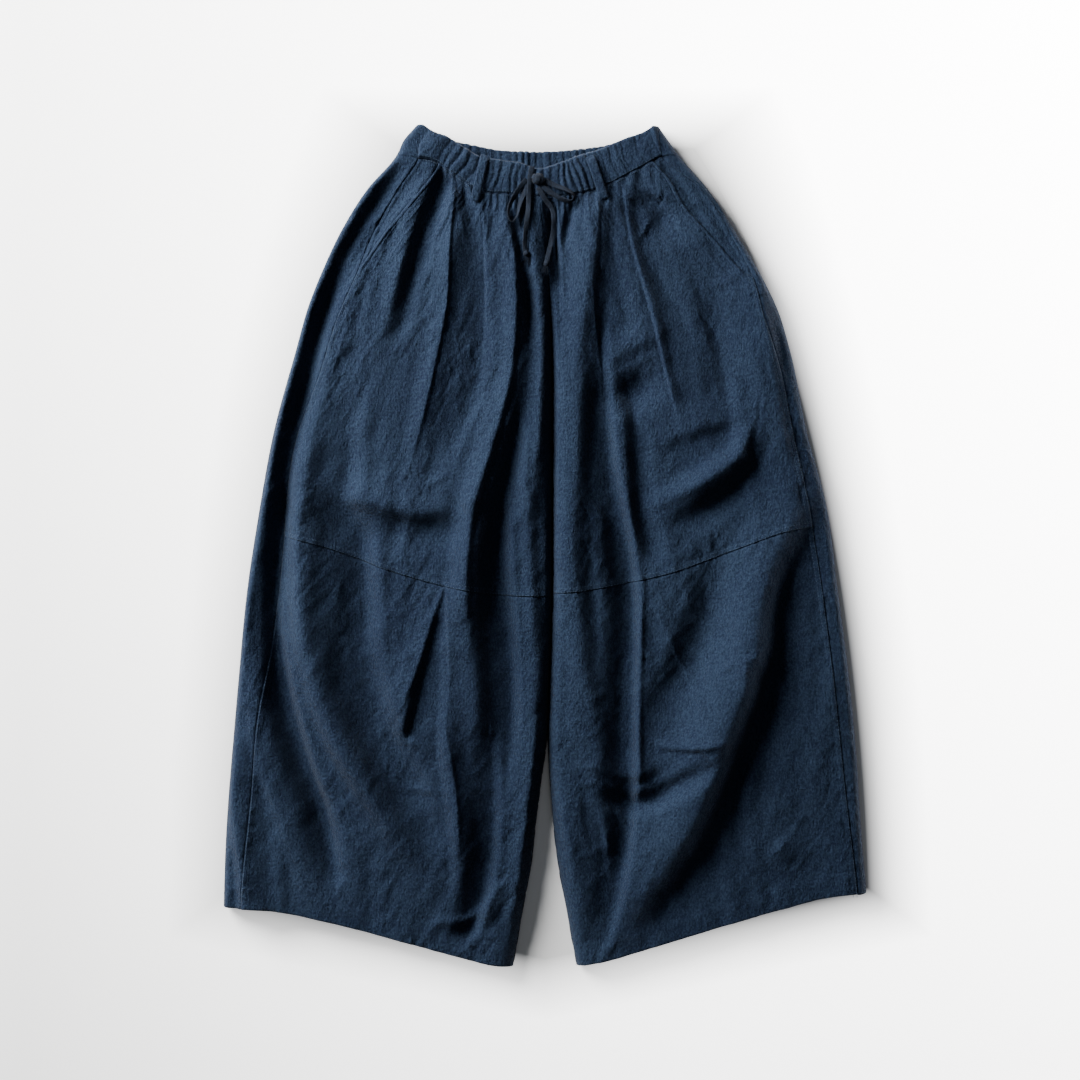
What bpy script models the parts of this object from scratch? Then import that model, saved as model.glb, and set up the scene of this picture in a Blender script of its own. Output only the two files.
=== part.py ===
"""Wide hakama-style trousers of washed linen, laid flat with the front up.

+X is to the right and +Y towards the waist as one looks down on the front. The floor is z = 0.
Left and right are those of the person who looks down on the front. Tables are in millimetres.
"""

from collections import namedtuple

import bpy
import numpy as np

MM = 0.001

# Driving sizes of the cloth, in metres
CLOTH = 1.2 * MM
BAND_CLOTH = 2.4 * MM
LOOP_CLOTH = 1.4 * MM
SEAM_GAP = 0.35 * MM
SIDE_GAP = 0.5 * MM
WAIST_GAP = 0.6 * MM
EDGE_RISE = 6 * MM
LEAST_RISE = 4 * MM
OUTER_ROLL = 22 * MM
INNER_ROLL = 15 * MM
UNDER_ROLL = 9 * MM
CROTCH_Y = 110 * MM
CROTCH_EASE = 60 * MM
GATHER_DEPTH = 3 * MM
LEAST_FLANK = 10 * MM
POCKET_END = 312 * MM
POCKET_STEP = 1.75 * MM
CORD_RADIUS = 1.7 * MM
CORD_STEP = 6.8 * MM
KNOT_SIZE = (7.5 * MM, 7.5 * MM, 4.2 * MM)

Section = namedtuple("Section", "y left right")
Fold = namedtuple("Fold", "name path rise lit shade")
Strap = namedtuple("Strap", "top bottom width")

# The outline at a row of heights: how far out the cloth reaches on either side
OUTLINE = [
    Section(482, -148, 130),
    Section(466, -162, 141),
    Section(449, -170, 153),
    Section(409, -204, 187),
    Section(363, -233, 217),
    Section(317, -255, 244),
    Section(271, -273, 267),
    Section(225, -286, 281),
    Section(133, -311, 300),
    Section(41, -328, 324),
    Section(-51, -342, 336),
    Section(-143, -351, 348),
    Section(-235, -359, 357),
    Section(-327, -366, 363),
    Section(-413, -369, 370),
    Section(-480, -370, 372),
]

# The inner edge of either leg, which is the centre seam above the crotch
INNER = [
    Section(480, -8, -8),
    Section(402, -6, -6),
    Section(328, 2, 2),
    Section(248, 7, 7),
    Section(180, 8, 8),
    Section(130, 8, 8),
    Section(80, 7.9, 8.5),
    Section(-51, 7.6, 8.2),
    Section(-109, 6.1, 6.7),
    Section(-178, 3.4, 4),
    Section(-214, 2.3, 3.1),
    Section(-235, 0.6, 3.4),
    Section(-270, -4.6, 5.2),
    Section(-293, -7.5, 7),
    Section(-327, -11.5, 10.4),
    Section(-362, -15.5, 14.5),
    Section(-420, -26, 25),
    Section(-490, -38, 38),
]

# Where the back wraps over to meet the front
SIDE_SEAM = [
    Section(482, -143, 128),
    Section(443, -145, 136),
    Section(410, -167, 178),
    Section(350, -201, 216),
    Section(310, -216, 236),
    Section(259, -238, 250),
    Section(202, -256, 268),
    Section(121, -286, 285),
    Section(52, -297, 300),
    Section(-17, -302, 312),
    Section(-120, -315, 326),
    Section(-201, -328, 335),
    Section(-293, -336, 345),
    Section(-385, -345, 356),
    Section(-470, -350, 364),
]

# The slanted pocket mouths, from the waist seam down to the side seam
POCKET_MOUTH = [
    Section(443, -118, 120),
    Section(425, -128, 138),
    Section(387, -159, 161),
    Section(351, -189, 193),
    Section(312, -215, 226),
]

# Lines across the garment, as (x, y)
BAND_TOP = [
    (-175, 470), (-158, 477), (-148, 484), (-141, 481), (-126, 471.5), (-109, 465), (-95, 456), (-75, 444),
    (-52, 440), (-28, 436.5), (-7, 430), (18, 437), (40, 445), (63, 452), (86, 462), (112, 472), (128, 480),
    (133, 480.5), (142, 476), (160, 470),
]  # fmt: skip
BACK_BAND_TOP = [
    (-175, 470), (-158, 477), (-148, 484), (-141, 481), (-126, 472), (-109, 465.5), (-90, 461), (-52, 454),
    (-6, 452), (40, 455), (86, 463), (112, 472), (128, 480), (133, 480.5), (142, 476), (160, 470),
]  # fmt: skip
WAIST_SEAM = [
    (-180, 449), (-145, 444), (-127, 440), (-104, 425), (-75, 406), (-40, 402), (-6, 400), (29, 401),
    (63, 409), (109, 432), (136, 446), (160, 448),
]  # fmt: skip
BACK_WAIST_SEAM = [
    (-180, 449), (-145, 444), (-95, 428), (-52, 420), (-6, 418), (40, 421), (92, 431), (136, 446), (160, 448),
]  # fmt: skip
KNEE_SEAM = {
    "left": [(-310, 13), (-247, -4), (-178, -29), (-115, -47), (-52, -57), (20, -59)],
    "right": [(-5, -56), (40, -53), (86, -45), (144, -32), (213, -7), (282, 17), (330, 23)],
}
HEM = {
    "left": [(-380, -412), (-317, -417), (-247, -431), (-178, -449), (-109, -468), (-60, -480), (-30, -483)],
    "right": [(20, -484), (63, -477), (132, -457), (201, -436), (270, -416), (316, -404), (385, -395)],
}
# How much further the back's hem reaches than the front's
BACK_HEM_DROP = {"left": [(-380, 0.5), (-30, 0.5)], "right": [(20, 0.5), (130, 1), (230, 4), (310, 1), (385, 0.5)]}

# How high the front stands over the floor between its edges, as (y, height)
LOFT = [(483, 18), (440, 19), (400, 20), (330, 22), (200, 25), (0, 27), (-200, 26), (-400, 23), (-490, 21)]

# How far the front sinks along its centre seam and inseams, from 0 to 1 (in thousandths), as (y, share)
SINK = [(483, 0), (400, 0), (330, 300), (260, 650), (170, 850), (110, 1000), (-490, 1000)]

# Folds and pleats. A path is its crest as (x, y), with a rise at each of its points. lit and shade
# are how wide the flanks are on the upper left and on the lower right of the crest.
FOLDS = {
    "left": [
        Fold("side_trough", ((-155, 427), (-209, 346), (-253, 259), (-287, 121), (-303, 0), (-306, -109), (-298, -195), (-262, -300), (-245, -373)),
             (-4, -8, -10, -12, -13, -12, -10, -8, -3), 20, 24),
        Fold("front_ridge", ((-28, 386), (-23, 282), (-35, 167), (-72, 52), (-87, -60), (-80, -178), (-63, -270)),
             (4, 7, 10, 12, 12, 8, 2), 28, 24),
        Fold("centre_ridge", ((-8, 351), (-3, 250), (-7, 140), (-17, 40), (-14, -80), (-10, -180)), (2, 5, 6, 6, 5, 1), 16, 14),
        Fold("inner_valley", ((-15, 300), (-20, 190), (-39, 90), (-52, 0), (-56, -80)), (-4, -7, -8, -8, -3), 16, 16),
        Fold("belt_loop_pleat", ((-74, 397), (-66, 330), (-66, 260), (-72, 190)), (2, 3, 2, 0), 7, 20),
        Fold("waist_pleat", ((-104, 397), (-110, 320), (-121, 225), (-139, 144), (-158, 70)), (5, 6, 5, 4, 1), 22, 26),
        Fold("pocket_ridge", ((-139, 409), (-158, 350), (-175, 282), (-190, 225)), (4, 6, 5, 1), 20, 17),
        Fold("thigh_sag", ((-247, 62), (-200, 52), (-150, 41), (-95, 47)), (2, 6, 6, 3), 45, 20),
        Fold("side_ridge", ((-282, 121), (-279, 0), (-272, -100), (-240, -210), (-201, -293), (-164, -362)),
             (2, 7, 9, 8, 5, 1), 22, 34),
        Fold("low_ridge", ((-338, -170), (-325, -235), (-309, -285), (-291, -335), (-274, -392)), (1, 5, 6, 5, 1), 14, 26),
        Fold("knee_pleat", ((-116, -53), (-142, -137), (-162, -200), (-171, -230)), (2, 6, 7, 1), 36, 12),
        Fold("knee_underlay", ((-113, -63), (-110, -160), (-112, -235), (-100, -327), (-97, -395)), (3, 5, 8, 9, 3), 14, 26),
        Fold("hem_dent", ((-115, -438), (-85, -430), (-58, -398)), (-2, -6, -2), 12, 16),
    ],
    "right": [
        Fold("centre_ridge", ((60, 397), (56, 320), (45, 225), (34, 90), (32, -20), (42, -120), (58, -247)),
             (5, 7, 9, 10, 10, 8, 3), 34, 22),
        Fold("thigh_ridge", ((77, 195), (88, 140), (95, 52), (102, 0)), (2, 8, 7, 1), 22, 16),
        Fold("waist_pleat", ((89, 423), (100, 345), (121, 271), (141, 185), (153, 140)), (3, 4, 4, 4, 0), 36, 12),
        Fold("hip_dent", ((95, 412), (120, 395), (142, 400)), (-1, -4, -1), 14, 14),
        Fold("upper_sag", ((72, 211), (100, 229), (127, 240)), (2, 5, 2), 30, 16),
        Fold("thigh_sag", ((127, 116), (175, 136), (219, 150)), (2, 6, 2), 40, 16),
        Fold("diagonal", ((132, 39), (178, 67), (222, 101), (238, 147)), (2, 12, 11, 2), 30, 24),
        Fold("knee_sweep", ((286, 52), (272, 10), (244, -60), (237, -120), (201, -224), (162, -321), (113, -400), (92, -436)),
             (3, 9, 14, 17, 19, 17, 11, 3), 62, 32),
        Fold("knee_pleat", ((112, -48), (105, -150), (106, -235), (108, -262)), (2, 5, 5, 2), 22, 8),
        Fold("pleat_foot", ((69, -258), (100, -262), (135, -247)), (2, 6, 2), 34, 12),
        Fold("shin_step", ((132, -229), (167, -229), (199, -226)), (1, 4, 1), 28, 9),
        Fold("inner_ridge", ((22, -262), (28, -330), (42, -410)), (2, 6, 2), 14, 26),
        Fold("low_ridge", ((68, -300), (72, -344), (76, -380)), (1, 5, 1), 9, 12),
    ],
}

# x of the hollow between one gather and the next, along the middle of the waistband
FRONT_GATHERS = [
    -143, -117, -110, -102, -92, -82, -69, -60, -53, -38, -31, -22, -10, 0, 8, 18, 24, 30, 36, 44, 55, 69, 77,
    92, 109, 126, 134,
]  # fmt: skip
BACK_GATHERS = [
    -139, -131, -112, -103, -93, -85, -75, -67, -59, -50, -38, -31, -24, -18, -10, -2, 7, 14, 22, 31, 38, 46,
    54, 61, 69, 80, 92, 106, 120, 130,
]  # fmt: skip

BELT_LOOPS = {
    "left": Strap((-69, 444), (-80, 395), 9.2),
    "right": Strap((52, 443), (67, 398), 10),
}

KNOT = (-10, 420)
DRAWSTRING = {
    "loop_left": [(-21, 418), (-30, 407), (-39, 391), (-42, 378), (-38, 369), (-32, 376), (-28, 392), (-19, 411)],
    "loop_right": [(0, 417), (11, 411), (24, 406), (33, 400), (30, 393), (18, 396), (8, 402), (-3, 410)],
    "tail_left": [(-15, 410), (-18, 398), (-18, 384), (-20, 366), (-23, 345), (-21, 330)],
    "tail_right": [(-8, 409), (0, 396), (9, 383), (10, 362), (5, 338), (1, 319)],
}

# How many columns and rows each kind of panel is made with
FRONT_COLUMNS = 28
UPPER_ROWS = 19
LOWER_ROWS = 16
BACK_COLUMNS = 7
BAND_ROWS = 3
WIDE_GATHER = 10
ROLL_STEPS = 5
UNDER_STEPS = 3

NAVY = (0.022, 0.043, 0.082)
DARK_NAVY = (0.012, 0.022, 0.042)


# Curves through the tables


def through(points):
    """A smooth function through (where, value) pairs in millimetres, in metres."""
    where, value = np.array(sorted(points), float).T * MM
    slope = np.gradient(value, where)

    def at(s):
        s = np.clip(s, where[0], where[-1])
        i = np.clip(np.searchsorted(where, s) - 1, 0, len(where) - 2)
        step = where[i + 1] - where[i]
        t = (s - where[i]) / step
        start = (1 + 2 * t) * (1 - t) ** 2 * value[i] + t * (1 - t) ** 2 * step * slope[i]
        end = t * t * (3 - 2 * t) * value[i + 1] + t * t * (t - 1) * step * slope[i + 1]
        return start + end

    return at


def edge_of(sections, side):
    """x as a function of y along one side of a table of sections."""
    return through([(s.y, s.left if side == "left" else s.right) for s in sections])


SIDES = ("left", "right")
OUTWARD = {"left": -1.0, "right": 1.0}
outline = {side: edge_of(OUTLINE, side) for side in SIDES}
inner = {side: edge_of(INNER, side) for side in SIDES}
side_seam = {side: edge_of(SIDE_SEAM, side) for side in SIDES}
pocket_mouth = {side: edge_of(POCKET_MOUTH, side) for side in SIDES}
knee_seam = {side: through(KNEE_SEAM[side]) for side in SIDES}
hem = {side: through(HEM[side]) for side in SIDES}
hem_drop = {side: through(BACK_HEM_DROP[side]) for side in SIDES}
band_top = through(BAND_TOP)
back_band_top = through(BACK_BAND_TOP)
waist_seam = through(WAIST_SEAM)
back_waist_seam = through(BACK_WAIST_SEAM)
loft = through(LOFT)
sink = through(SINK)


def front_edge(side):
    """The front's outer edge: the pocket mouth, then the side seam below it."""

    def at(y):
        return np.where(y > POCKET_END, pocket_mouth[side](y), side_seam[side](y))

    return at


def moved(line, by):
    """A line across the garment, moved along y."""
    return lambda x: line(x) + by


def dropped(side):
    """The hem of the back, which shows a little past the front's."""
    return lambda x: hem[side](x) - hem_drop[side](x)


# The height of the front over the floor


def smooth_path(path, steps=8):
    """Points along a smooth curve through a path's own points, with their place along it."""
    p = np.array(path, float) * MM
    tangent = np.gradient(p, axis=0)
    points, places = [], []
    for i in range(len(p) - 1):
        for t in np.arange(steps) / steps:
            start = (1 + 2 * t) * (1 - t) ** 2 * p[i] + t * (1 - t) ** 2 * tangent[i]
            end = t * t * (3 - 2 * t) * p[i + 1] + t * t * (t - 1) * tangent[i + 1]
            points.append(start + end)
            places.append(i + t)
    return np.array(points + [p[-1]]), np.array(places + [len(p) - 1.0])


def fold_height(fold, x, y):
    """What one fold adds at each point: full at its crest, nothing past its flanks."""
    line, place = smooth_path(fold.path)
    q = np.stack([np.ravel(x), np.ravel(y)], -1)[:, None]
    a, d = line[:-1], np.diff(line, axis=0)
    t = np.clip(((q - a) * d).sum(-1) / (d * d).sum(-1), 0, 1)
    offset = q - a - t[..., None] * d
    away = np.linalg.norm(offset, axis=-1)
    n, k = np.arange(len(q)), away.argmin(1)
    across = np.stack([-d[k, 1], d[k, 0]], -1)
    across *= np.sign(across @ np.array([1.0, -0.6]))[:, None]
    in_shade = (offset[n, k] * across).sum(-1) > 0
    flank = np.maximum(np.where(in_shade, fold.shade, fold.lit) * MM, LEAST_FLANK)
    fall = np.clip(away[n, k] / flank, 0, 1)
    along = place[k] + t[n, k] * (place[k + 1] - place[k])
    rise = np.interp(along, np.arange(len(fold.rise)), np.array(fold.rise, float) * MM)
    return (rise * (1 - fall) ** 2 * (1 + 2 * fall)).reshape(np.shape(x))


def rounded(away, roll):
    """How far up a rounded edge has come, from 0 on the edge to 1 past the roll."""
    return np.sqrt(1 - (1 - np.clip(away / roll, 0, 1)) ** 2)


def eased(share):
    """A soft step from 0 to 1."""
    share = np.clip(share, 0, 1)
    return share * share * (3 - 2 * share)


def height(side, x, y):
    """The top of the front over the floor."""
    out = OUTWARD[side]
    outside = rounded((outline[side](y) - x) * out, OUTER_ROLL)
    inside = rounded((x - inner[side](y)) * out - SEAM_GAP / 2, INNER_ROLL)
    sunk = np.clip(sink(y), 0, 1)
    folds = sum(fold_height(fold, x, y) for fold in FOLDS[side])
    folds = folds * inside * eased((waist_seam(x) - y) / (32 * MM))
    top = EDGE_RISE + outside * ((1 - sunk + sunk * inside) * (loft(y) - EDGE_RISE) + folds)
    soft = 2 * MM
    return np.where(top > LEAST_RISE + soft, top, LEAST_RISE + soft * np.exp((top - LEAST_RISE - soft) / soft))


def surface(x, y):
    """The top of either front, parted at the centre seam."""
    return np.where(x < inner["left"](y), height("left", x, y), height("right", x, y))


# Grids of points


def spread(count, near_roll=0.0, far_roll=0.0):
    """A share of the width and an inset for each column, crowded into a rounded edge at either end."""
    turns = 1 - np.cos(np.linspace(0, np.pi / 2, ROLL_STEPS + 1))[:-1]
    steps = [(0.0, near_roll * t) for t in turns] if near_roll else []
    steps += [(u, near_roll * (1 - u) - far_roll * u) for u in np.linspace(0, 1, count)]
    steps += [(1.0, -far_roll * t) for t in turns[::-1]] if far_roll else []
    return np.array(steps).T


def settle(near, far, steps, lines, weights):
    """A grid of (x, y). near and far give x for a y, each line gives y for an x, weights mix the lines by row."""
    share, inset = steps
    way = np.sign(far(0.0) - near(0.0))
    y = np.repeat(weights @ np.array([[line(0.0)] for line in lines]), len(share), 1)
    for _ in range(40):
        x = near(y) + (far(y) - near(y)) * share + way * inset
        y = sum(weights[:, [k]] * line(x) for k, line in enumerate(lines))
    return x, y


def rows_between(*counts):
    """Weights that take rows from the first line to the next, and so on."""
    weights = [[1.0] + [0.0] * len(counts)]
    for k, count in enumerate(counts):
        for v in np.linspace(0, 1, count)[1:]:
            weights.append([0.0] * k + [1 - v, v] + [0.0] * (len(counts) - k - 1))
    return np.array(weights)


def gap_off(edge, by):
    """An edge's x as a function of y, moved by half a seam's gap."""
    return lambda y: edge(y) + by


def front_grid(side, top, bottom, rows):
    """Points over one front panel, columns from its outer edge to its inner one."""
    out = OUTWARD[side]
    near = gap_off(front_edge(side), -out * SIDE_GAP / 2)
    far = gap_off(inner[side], out * SEAM_GAP / 2)
    x, y = settle(near, far, spread(FRONT_COLUMNS, far_roll=INNER_ROLL), [top, bottom], rows_between(rows))
    return np.stack([x, y, height(side, x, y)], -1)


def back_grid(side):
    """Points over one back panel: under from the inseam outwards, round the fold, and over to the side seam."""
    out = OUTWARD[side]
    weights = rows_between(UPPER_ROWS, LOWER_ROWS)
    turns = np.linspace(0, np.pi / 2, UNDER_STEPS + 1)[:-1]
    steps = [(0.0, UNDER_ROLL * (1 - np.cos(t))) for t in turns]
    steps += [(u, UNDER_ROLL * (1 - 2 * u)) for u in np.linspace(0, 1, BACK_COLUMNS)]
    steps += [(1.0, -UNDER_ROLL * (1 - np.cos(t))) for t in turns[::-1]]
    near = gap_off(inner[side], out * SEAM_GAP / 2)
    lines = [moved(back_waist_seam, -WAIST_GAP), knee_seam[side], dropped(side)]
    x, y = settle(near, outline[side], np.array(steps).T, lines, weights)
    rise = np.zeros_like(x)
    seam_rise = eased((CROTCH_Y + CROTCH_EASE - y) / CROTCH_EASE) * (EDGE_RISE - SEAM_GAP)
    rise[:, :UNDER_STEPS] = seam_rise[:, :UNDER_STEPS] * (1 - np.sin(turns))
    rise[:, -UNDER_STEPS:] = EDGE_RISE * (1 - np.sin(turns[::-1]))
    under = np.stack([x, y, rise], -1)
    over_turns = np.linspace(0, np.pi / 2, ROLL_STEPS + 1)[1:]
    steps = np.array([(1 - np.cos(t), 0.0) for t in over_turns]).T
    far = gap_off(side_seam[side], out * SIDE_GAP / 2)
    lines = [moved(waist_seam, -WAIST_GAP), knee_seam[side], dropped(side)]
    x, y = settle(outline[side], far, steps, lines, weights)
    return np.concatenate([under, np.stack([x, y, height(side, x, y)], -1)], 1)


def gathers(hollows):
    """x of each column of a gathered strip and its share of the gather's height: four to a wide gather, else two."""
    phase = [0.0]
    for k, width in enumerate(np.diff(hollows)):
        phase += [k + v for v in ((0.25, 0.5, 0.75, 1) if width > WIDE_GATHER else (0.5, 1))]
    x = np.interp(phase, np.arange(len(hollows)), np.array(hollows, float) * MM)
    return x, (1 - np.cos(2 * np.pi * np.array(phase))) / 2


def share_of_width(x, near, far, y):
    """Where x lies between two edges at y, from 0 to 1."""
    return (x - near(y)) / (far(y) - near(y))


def front_band_grid():
    """Points over the front of the waistband, from its left side seam to its right."""
    near = gap_off(side_seam["left"], WAIST_GAP / 2)
    far = gap_off(side_seam["right"], -WAIST_GAP / 2)
    x, wave = gathers(FRONT_GATHERS)
    share = np.concatenate([[0.0], share_of_width(x[1:-1], near, far, 445 * MM), [1.0]])
    x, y = settle(near, far, (share, 0 * share), [band_top, waist_seam], rows_between(BAND_ROWS))
    return np.stack([x, y, surface(x, y)], -1), wave


def back_band_grid():
    """Points over the back of the waistband, from its right side seam, under the garment, to its left."""
    weights = rows_between(BAND_ROWS)
    over_turns = np.linspace(0, np.pi / 2, ROLL_STEPS + 1)[1:]
    over = {}
    for side in SIDES:
        steps = np.array([(1 - np.cos(t), 0.0) for t in over_turns]).T
        far = gap_off(side_seam[side], OUTWARD[side] * WAIST_GAP / 2)
        x, y = settle(outline[side], far, steps, [band_top, waist_seam], weights)
        over[side] = np.stack([x, y, height(side, x, y)], -1)
    x, wave = gathers(BACK_GATHERS)
    share = share_of_width(x, outline["left"], outline["right"], 455 * MM)
    turns = np.linspace(0, np.pi / 2, UNDER_STEPS + 1)[:-1]
    steps = [(0.0, UNDER_ROLL * (1 - np.cos(t))) for t in turns] + [(u, 0.0) for u in share]
    steps += [(1.0, -UNDER_ROLL * (1 - np.cos(t))) for t in turns[::-1]]
    lines = [back_band_top, back_waist_seam]
    x, y = settle(outline["left"], outline["right"], np.array(steps).T, lines, weights)
    down = EDGE_RISE * (1 - np.sin(turns))
    rise = np.concatenate([down, 0 * wave, down[::-1]])
    under = np.stack([x, y, np.broadcast_to(rise, x.shape)], -1)
    plain = [0.0] * (ROLL_STEPS + UNDER_STEPS)
    return np.concatenate([over["right"][:, ::-1], under[:, ::-1], over["left"]], 1), [*plain, *wave[::-1], *plain]


# Meshes


def inward_of(grid):
    """The unit direction into the cloth at each point of a grid whose columns and rows face out."""
    down, along = np.gradient(grid, axis=0), np.gradient(grid, axis=1)
    normal = np.cross(down, along)
    return -normal / np.linalg.norm(normal, axis=-1, keepdims=True)


def inward_of_height(side, grid):
    """The same on the front's own form, whatever the spacing of the points."""
    x, y, step = grid[..., 0], grid[..., 1], 1.5 * MM
    slope_x = (height(side, x + step, y) - height(side, x - step, y)) / (2 * step)
    slope_y = (height(side, x, y + step) - height(side, x, y - step)) / (2 * step)
    inward = np.stack([slope_x, slope_y, -np.ones_like(x)], -1)
    return inward / np.linalg.norm(inward, axis=-1, keepdims=True)


def wall(name, outer, inner_points, colour):
    """A closed wall between a grid of outer points and a grid of inner ones."""
    rows, columns = outer.shape[:2]
    points = np.concatenate([outer.reshape(-1, 3), inner_points.reshape(-1, 3)])
    top = np.arange(rows * columns).reshape(rows, columns)
    under = top + rows * columns
    faces = []
    for i in range(rows - 1):
        for j in range(columns - 1):
            faces.append((top[i, j], top[i + 1, j], top[i + 1, j + 1], top[i, j + 1]))
            faces.append((under[i, j], under[i, j + 1], under[i + 1, j + 1], under[i + 1, j]))
    rim = [(0, j) for j in range(columns - 1)] + [(i, columns - 1) for i in range(rows - 1)]
    rim += [(rows - 1, j) for j in range(columns - 1, 0, -1)] + [(i, 0) for i in range(rows - 1, 0, -1)]
    for here, there in zip(rim, rim[1:] + rim[:1]):
        faces.append((top[here], top[there], under[there], under[here]))
    return add_mesh(name, points, faces, colour)


def cloth_material(name, colour):
    material = bpy.data.materials.new(name)
    material.use_nodes = True
    shader = material.node_tree.nodes["Principled BSDF"]
    shader.inputs["Base Color"].default_value = (*colour, 1)
    shader.inputs["Roughness"].default_value = 0.9
    shader.inputs["Metallic"].default_value = 0.0
    return material


def add_mesh(name, points, faces, colour):
    mesh = bpy.data.meshes.new(name)
    mesh.from_pydata([tuple(p) for p in points], [], [tuple(int(i) for i in face) for face in faces])
    mesh.validate()
    mesh.materials.append(cloth_material(name, colour))
    mesh.shade_smooth()
    mesh.set_sharp_from_angle(angle=0.9)
    made = bpy.data.objects.new(name, mesh)
    bpy.context.scene.collection.objects.link(made)
    return made


def facing_out(side, grid):
    """A leg's grid with its columns in the order that faces out."""
    return grid if side == "left" else grid[:, ::-1]


def levelled(inward, where):
    """Directions with the upright part taken out where asked, as at an edge that meets another one."""
    flat = inward * np.array([1.0, 1.0, 0.0])
    flat /= np.linalg.norm(flat, axis=-1, keepdims=True) + 1e-12
    return np.where(where[..., None], flat, inward)


# The pieces


def make_front(side, part, top, bottom, rows):
    grid = front_grid(side, top, bottom, rows)
    inward = inward_of_height(side, grid)
    at_inseam = np.zeros(grid.shape[:2], bool)
    at_inseam[:, -1] = grid[:, -1, 1] < CROTCH_Y + CROTCH_EASE
    inward = levelled(inward, at_inseam)
    wall(f"front_{part}_{side}", facing_out(side, grid), facing_out(side, grid + inward * CLOTH), NAVY)
    return grid, inward


def make_back(side):
    grid = back_grid(side)
    inward = facing_out(side, inward_of(facing_out(side, grid)))
    inward[:, -1] = inward_of_height(side, grid[:, -1:])[:, 0]
    at_inseam = np.zeros(grid.shape[:2], bool)
    at_inseam[:, 0] = grid[:, 0, 1] < CROTCH_Y + CROTCH_EASE / 2
    inward = levelled(inward, at_inseam)
    wall(f"back_{side}", facing_out(side, grid), facing_out(side, grid + inward * CLOTH), NAVY)
    return grid, inward


def make_pocket_underlay(side, front, back):
    """Cloth under the pocket mouth, made from the points of the panels on either side of it."""
    front_points, front_inward = front
    back_points, back_inward = back
    rows = int((front_points[:, 0, 1] > POCKET_END).sum())
    shown = [back_points[:rows, -2:] + back_inward[:rows, -2:] * POCKET_STEP]
    across = front_points[:rows, 0] - back_points[:rows, -1]
    for share in (0.33, 0.67):
        x, y = (back_points[:rows, -1] + across * share)[:, :2].T
        between = np.stack([x, y, height(side, x, y)], -1)[:, None]
        shown.append(between + inward_of_height(side, between) * POCKET_STEP)
    shown.append(front_points[:rows, :3] + front_inward[:rows, :3] * POCKET_STEP)
    grid = facing_out(side, np.concatenate(shown, 1))
    wall(f"pocket_underlay_{side}", grid, grid + inward_of(grid) * CLOTH, DARK_NAVY)


def make_waistband():
    """Both halves, with their gathers raised on the sides that show from above."""
    band, wave = front_band_grid()
    inward = inward_of(band)
    inward[:, 0] = inward_of_height("left", band[:, 0])
    inward[:, -1] = inward_of_height("right", band[:, -1])
    raised = band - inward * (GATHER_DEPTH * wave)[:, None]
    wall("waistband_front", raised, band + inward * BAND_CLOTH, NAVY)
    band, wave = back_band_grid()
    inward = inward_of(band)
    inward[:, 0] = inward_of_height("right", band[:, 0])
    inward[:, -1] = inward_of_height("left", band[:, -1])
    thickness = BAND_CLOTH + GATHER_DEPTH * np.array(wave)
    wall("waistband_back", band, band + inward * thickness[:, None], NAVY)


def make_belt_loop(side, strap):
    """A narrow strip over the waistband, held at both ends."""
    top, bottom = np.array(strap.top, float) * MM, np.array(strap.bottom, float) * MM
    along = (bottom - top) / np.linalg.norm(bottom - top)
    across = np.array([-along[1], along[0]])
    rows = []
    for v in np.linspace(0, 1, 6):
        middle = top + (bottom - top) * v
        row = [middle + across * strap.width * MM * u for u in (-0.5, 0.0, 0.5)]
        x, y = np.array(row).T
        rise = surface(x, y).max() + GATHER_DEPTH + 0.5 * MM + LOOP_CLOTH + 1.2 * MM * np.sin(np.pi * v)
        rows.append([(*point, rise) for point in row])
    grid = np.array(rows)
    wall(f"belt_loop_{side}", grid, grid + inward_of(grid) * LOOP_CLOTH, NAVY)


def lie_on(x, y, clear):
    """A height that clears the cloth within a little way of each point."""
    reach = (-4 * MM, 0.0, 4 * MM)
    return np.max([surface(x + dx, y + dy) for dx in reach for dy in reach], axis=0) + GATHER_DEPTH + clear


def make_cord(name, path):
    """A round tube along a smooth path over the cloth, with closed ends."""
    line, _ = smooth_path(path)
    run = np.concatenate([[0], np.cumsum(np.linalg.norm(np.diff(line, axis=0), axis=1))])
    stops = np.linspace(0, run[-1], int(run[-1] / CORD_STEP) + 1)
    x, y = (np.interp(stops, run, line[:, k]) for k in (0, 1))
    z = lie_on(x, y, CORD_RADIUS + 0.4 * MM)
    curve = bpy.data.curves.new(name, "CURVE")
    curve.dimensions = "3D"
    curve.bevel_depth = CORD_RADIUS
    curve.bevel_resolution = 2
    curve.use_fill_caps = True
    spline = curve.splines.new("POLY")
    spline.points.add(len(x) - 1)
    for point, place in zip(spline.points, zip(x, y, z)):
        point.co = (*place, 1.0)
    curve.materials.append(cloth_material(name, DARK_NAVY))
    bpy.context.scene.collection.objects.link(bpy.data.objects.new(name, curve))


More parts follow.
